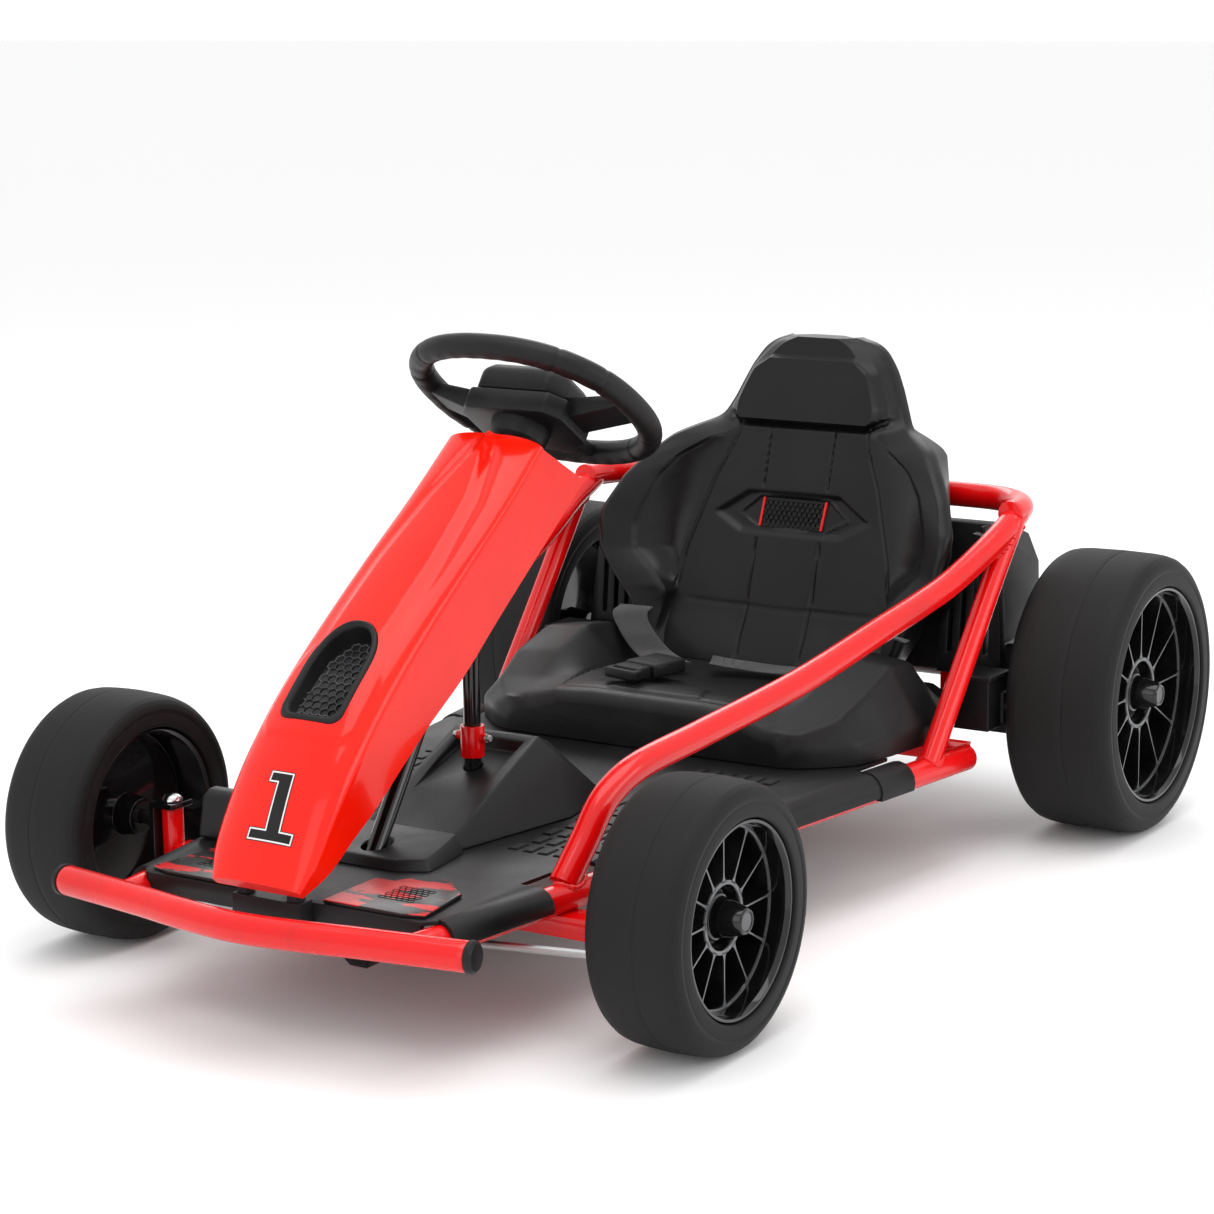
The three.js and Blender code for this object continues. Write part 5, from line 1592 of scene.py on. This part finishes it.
collar.data.transform(ON_COLUMN)
finish_piece(joined("steering_wheel_spokes", arms + [collar]), "black plastic",
             body=node_bodies["steering_wheel"], angle=34)
foot = [(-38, 26), (-22, 46), (18, 46), (33, 34), (33, -34), (18, -46), (-22, -46), (-38, -26)]
crown = [(-32, 22), (-18, 38), (14, 38), (26, 28), (26, -28), (14, -38), (-18, -38), (-32, -22)]
cover = block("hub_cover_padded",
              [(x, y, z) for x, y in foot for z in (424.4, 443)] + [(x, y, 451.5) for x, y in crown], 4.0,
              ON_COLUMN, 5)
recess = lathe("recess", Vector((-0.004, 0, 0)), [(0, 440), (15, 440), (15, 470), (0, 470)], 72, "Z", False)
recess.data.transform(ON_COLUMN)
hole = cover.modifiers.new("hole", "BOOLEAN")
hole.object, hole.operation, hole.solver = outward(recess), "DIFFERENCE", "EXACT"
apply_modifiers(cover)
bpy.data.objects.remove(recess)
finish_piece(cover, "grip", "hub_cover", angle=34)
horn = lathe("horn_button_domed", Vector((-0.004, 0, 0)),
             rounded([(0, 444.2), (13.8, 444.2), (13.8, 454), (12.2, 455.6), (0, 456)], 1.0, closed=False),
             72, "Z", False)
horn.data.transform(ON_COLUMN)
finish_piece(horn, "red shell", "horn_button", angle=40)
print("grip:", len(grip.data.polygons), "faces")

# %% [markdown]
# ## Pedal
# The pedal plate leans towards the seat. Five low ribs across it stop the shoe from slipping.

# %% Pedal
PEDAL = (-24, -118, 124)
PLATE_RUN = 22.5  # the plate leans this far back
PLATE_RISE = 55.6  # and stands this high
px, py, pz = PEDAL
pedal = [block("plate", [(px + a, py + b, pz + c) for b in (-26, 26)
                         for a, c in ((-3, -2), (3, -3), (25.2, 51), (19.5, 53.6))], 1.8),
         straight("pivot", (px, py - 29, pz), (px, py + 29, pz), 4.5, 24, 0.8)]
for k in range(5):
    h = 0.2 + 0.15 * k
    x, z = px - 3 + h * PLATE_RUN, pz - 2 + h * PLATE_RISE
    pedal.append(block("rib",
                       [(x + a, py + b, z + c) for b in (-21, 21)
                        for a, c in ((0.5, -2), (-1.0, -1.4), (-1.0, 1.6), (0.9, 2.4))], 0.4))
finish_piece(joined("accelerator_pedal_ribbed", pedal), "grip", "accelerator_pedal", angle=34)
print("pedal ready")

# %% [markdown]
# ## Seat base
# The base is one moulding with a low cushion, two side bolsters that rise towards the back, and a skirt
# down to the floor. Its cross-sections are rounded outlines at rising distances behind the axle, closed
# front and back by rings that shrink away. The relief adds the seams beside the cushion, a raised trapezium
# at the front edge and a groove along that edge.

# %% Seat base
BASE_FRONT = 393  # distance behind the front axle where the moulding starts
BASE_FOOT = 119.2  # height of the lower edge of the skirt
BASE = np.array([  # distance back, skirt half width, bolster line, heights at middle, line, bolster; shoulder
    (BASE_FRONT, 150, 92, 160, 158, 146, 140), (402, 172, 100, 167, 164, 154, 160),
    (436, 208, 108, 168, 165, 163, 186), (480, 219, 112, 164, 166, 182, 196),
    (530, 226, 112, 160, 164, 198, 194), (580, 222, 112, 156, 160, 192, 188),
    (612, 212, 112, 152, 155, 170, 180), (624, 212, 112, 149.6, 149.6, 149.6, 178),
    (652, 206, 112, 149.6, 149.6, 149.6, 176)], float)
backs = np.unique(np.concatenate([np.linspace(BASE_FRONT, 402, 9), np.arange(402, 612, 2.5),
                                  np.linspace(612, 626, 9), np.arange(628, 652, 4), [652]]))
sections = eased(BASE, backs, 4.0)
SIDE_COUNT = 110


def base_ring(back, w, b, c, s, h, u):
    shrink = 7 * (1 - math.sqrt(max(0, 1 - (1 - min((back - BASE_FRONT) / 7, 1)) ** 2)))
    c, s, h = c - shrink, s - shrink, h - shrink
    h5 = h - 5 * step(h, 150, 156)
    half = [(0, c), (b * 0.6, c), (b, s), (b + 34, h), (u, h5), (w - shrink, min(h - 16, 138)),
            (w - shrink, BASE_FOOT)]
    line = np.array(rounded(half, 11, 6, False))
    run = np.concatenate([[0], np.cumsum(np.hypot(*np.diff(line, axis=0).T))])
    want = np.linspace(0, run[-1], SIDE_COUNT)
    y, z = np.interp(want, run, line[:, 0]), np.interp(want, run, line[:, 1])
    flat = 1 - step(y, b - 6, b + 4)
    z = z + groove(y - b + 2, 2.6, 1.8) * step(back, 412, 424) * (1 - step(back, 596, 606))
    z = z + groove(back - 414 - 0.03 * y, 2.4, 1.3) * (1 - step(y, 60, 120))
    trapeze = step(456 - back, 0, 4) * step(back, 417, 420)
    z = z + 1.4 * trapeze * (1 - step(y, 50 - 0.35 * (back - 418), 53 - 0.35 * (back - 418))) * flat
    z = z - 2.2 * flat * math.exp(-((back - 530) / 46) ** 2) * np.exp(-(y / 70) ** 2)
    z = np.where(want > run[-1] - 2, BASE_FOOT, z)
    right = [at(-back, -a, d) for a, d in zip(y[:0:-1], z[:0:-1])]
    return right + [at(-back, a, d) for a, d in zip(y, z)]


rings = [base_ring(back, *row) for back, row in zip(backs, sections)]
base = outward(mesh_piece("seat_base_moulding", [p for ring in rings for p in ring],
                          ring_faces(len(rings), len(rings[0]))))
finish_piece(base, "black plastic", "seat_base", angle=44)
ovals = []
for s in (1, -1):
    oval = lathe("oval", Vector(),
                 rounded([(0, 0), (9, 0), (9, 1.6), (6.6, 1.6), (6.2, 0.5), (0, 0.5)], 0.4, closed=False), 48,
                 "Z", False)
    oval.data.transform(Matrix.Translation(at(-421, s * 140, 154.6)) @ Matrix.Diagonal((0.55, 1.5, 1, 1)))
    ovals.append(oval)
finish_piece(joined("seat_base_slots", ovals), "gloss black", body="chassis", angle=34)
print("seat base:", len(base.data.polygons), "faces")

# %% [markdown]
# ## Lap belt
# Each half is flat webbing 35 mm wide that comes from behind the bolster and lies over the cushion. The
# strap is swept along a smooth line with its own width direction, and its UV map `strap` holds metres
# across and along it. Rows of stitches hold the sewn ends. They are laid by a tree as short threads on
# points.

# %% Straps
BELTS = {
    "belt_left": [((-622, 150, 199), (0.75, 0.3, 0)), ((-588, 146, 201), (0.75, 0.5, 0.1)),
                  ((-570, 118, 182), (1, 0.1, 0)), ((-572, 88, 168), (1, 0, 0)),
                  ((-576, 45, 163), (1, 0, 0)), ((-566, 5, 166), (1, 0.2, 0)),
                  ((-556, -18, 170), (1, 0.3, 0))],
    "belt_right": [((-626.6, -148, 199), (0.8, -0.4, 0)), ((-598, -138, 197), (0.8, -0.5, 0)),
                   ((-572, -112, 184), (0.8, -0.55, 0)),
                   ((-552, -82, 172), (0.7, -0.7, 0)), ((-532, -52, 170), (0.5, -0.9, 0)),
                   ((-525, -38, 172), (0.3, -0.95, 0))],
}
BELT_WIDE, BELT_THICK = 35.0, 1.5
EDGE = [(-1, 0), (-0.985, 0.6), (-0.95, 1)] + [(a, 1) for a in np.linspace(-0.85, 0.85, 13)] + [(0.95, 1),
    (0.985, 0.6), (1, 0)]
EDGE += [(a, -b) for a, b in EDGE[-2:0:-1]]
thread_spots, thread_facing = [], []
for name, path in BELTS.items():
    line = smooth_path([p for p, w in path], 3)
    knots = np.array([at(*p) for p, w in path])
    nearest = [int(np.argmin(np.linalg.norm(line - k, axis=1))) for k in knots]
    widths = np.stack([np.interp(range(len(line)), nearest, [w[k] for p, w in path]) for k in range(3)], 1)
    along = np.gradient(line, axis=0)
    along /= np.linalg.norm(along, axis=1)[:, None]
    points, uv = [], []
    for i, (centre, ahead, width) in enumerate(zip(line, along, widths)):
        side = width - ahead * (width @ ahead)
        side /= np.linalg.norm(side)
        up = np.cross(ahead, side)
        up = up if up[2] > 0 else -up
        for a, b in EDGE:
            sag = 0.0007 * (1 - a * a) * math.sin(i * 0.33)
            points.append(centre + side * a * BELT_WIDE / 2 * MM + up * (b * BELT_THICK / 2 * MM + sag))
            uv.append((a * BELT_WIDE / 2 * MM, i * 3 * MM))
        if i > len(line) - 10 and i % 3 == 0:
            for a in np.linspace(-0.82, 0.82, 12):
                thread_spots.append(centre + side * a * BELT_WIDE / 2 * MM
                                    + up * (BELT_THICK / 2 * MM + 0.0007 * (1 - a * a) * math.sin(i * 0.33)))
                thread_facing.append(side)
    strap = mesh_piece(name + "_webbing", points, ring_faces(len(line), len(EDGE)))
    layer = strap.data.uv_layers.new(name="strap")
    layer.data.foreach_set("uv",
                           np.array([uv[loop.vertex_index] for loop in strap.data.loops], np.float32).ravel())
    recalculated(strap)
    finish_piece(strap, "webbing", name, angle=50)
    print(name, "is", round((len(line) - 1) * 3), "mm long")


def stitch_build(graph, Points, Thick):
    bar = graph.node("GeometryNodeMeshCylinder", sockets={"Vertices": 6, "Radius": Thick, "Depth": Thick * 6})
    return scatter(graph, Points, bar, uneven(graph, 0.9, 1.1, 9))


cloud = points_piece("stitch_points", thread_spots, thread_facing)
stitches = grow("belt_stitches", stitch_build, {"Points": cloud, "Thick": 0.00032}, "cap grey")
bpy.data.objects.remove(cloud)
finish_piece(stitches, None, body="chassis", angle=60)

# %% [markdown]
# The buckle is a side-release one: a hollow-ended body, a tongue with a webbing bar, and two squeeze tabs
# between them.

# %% Buckle
ON_BUCKLE = Matrix.Translation(at(-468, -39.5, 177)) @ Matrix.Rotation(-0.21, 4, "Z")
buckle = [
    brick("body", (-36.5, 8), (-20, 20), (-7, 7), 2.6, ON_BUCKLE),
    brick("tongue", (9.2, 27), (-17, 17), (-6, 6), 2.2, ON_BUCKLE),
    brick("bar", (30, 36.5), (-20, 20), (-5, 5), 2.0, ON_BUCKLE),
    brick("end", (24, 34), (-20, -14), (-5, 5), 1.6, ON_BUCKLE),
    brick("end", (24, 34), (14, 20), (-5, 5), 1.6, ON_BUCKLE),
    brick("raised", (-30, -2), (-12, 12), (5, 7.4), 0.9, ON_BUCKLE),
]
for s in (1, -1):
    buckle.append(block("tab",
                        [(a, s * b, c) for a, b in ((-12, 16), (6, 16), (4, 20.8), (-10, 20.8))
                         for c in (-4.5, 4.5)], 1.2, ON_BUCKLE))
finish_piece(joined("buckle_side_release", buckle), "black plastic", "buckle", angle=34)
print("buckle parts:", len(buckle))
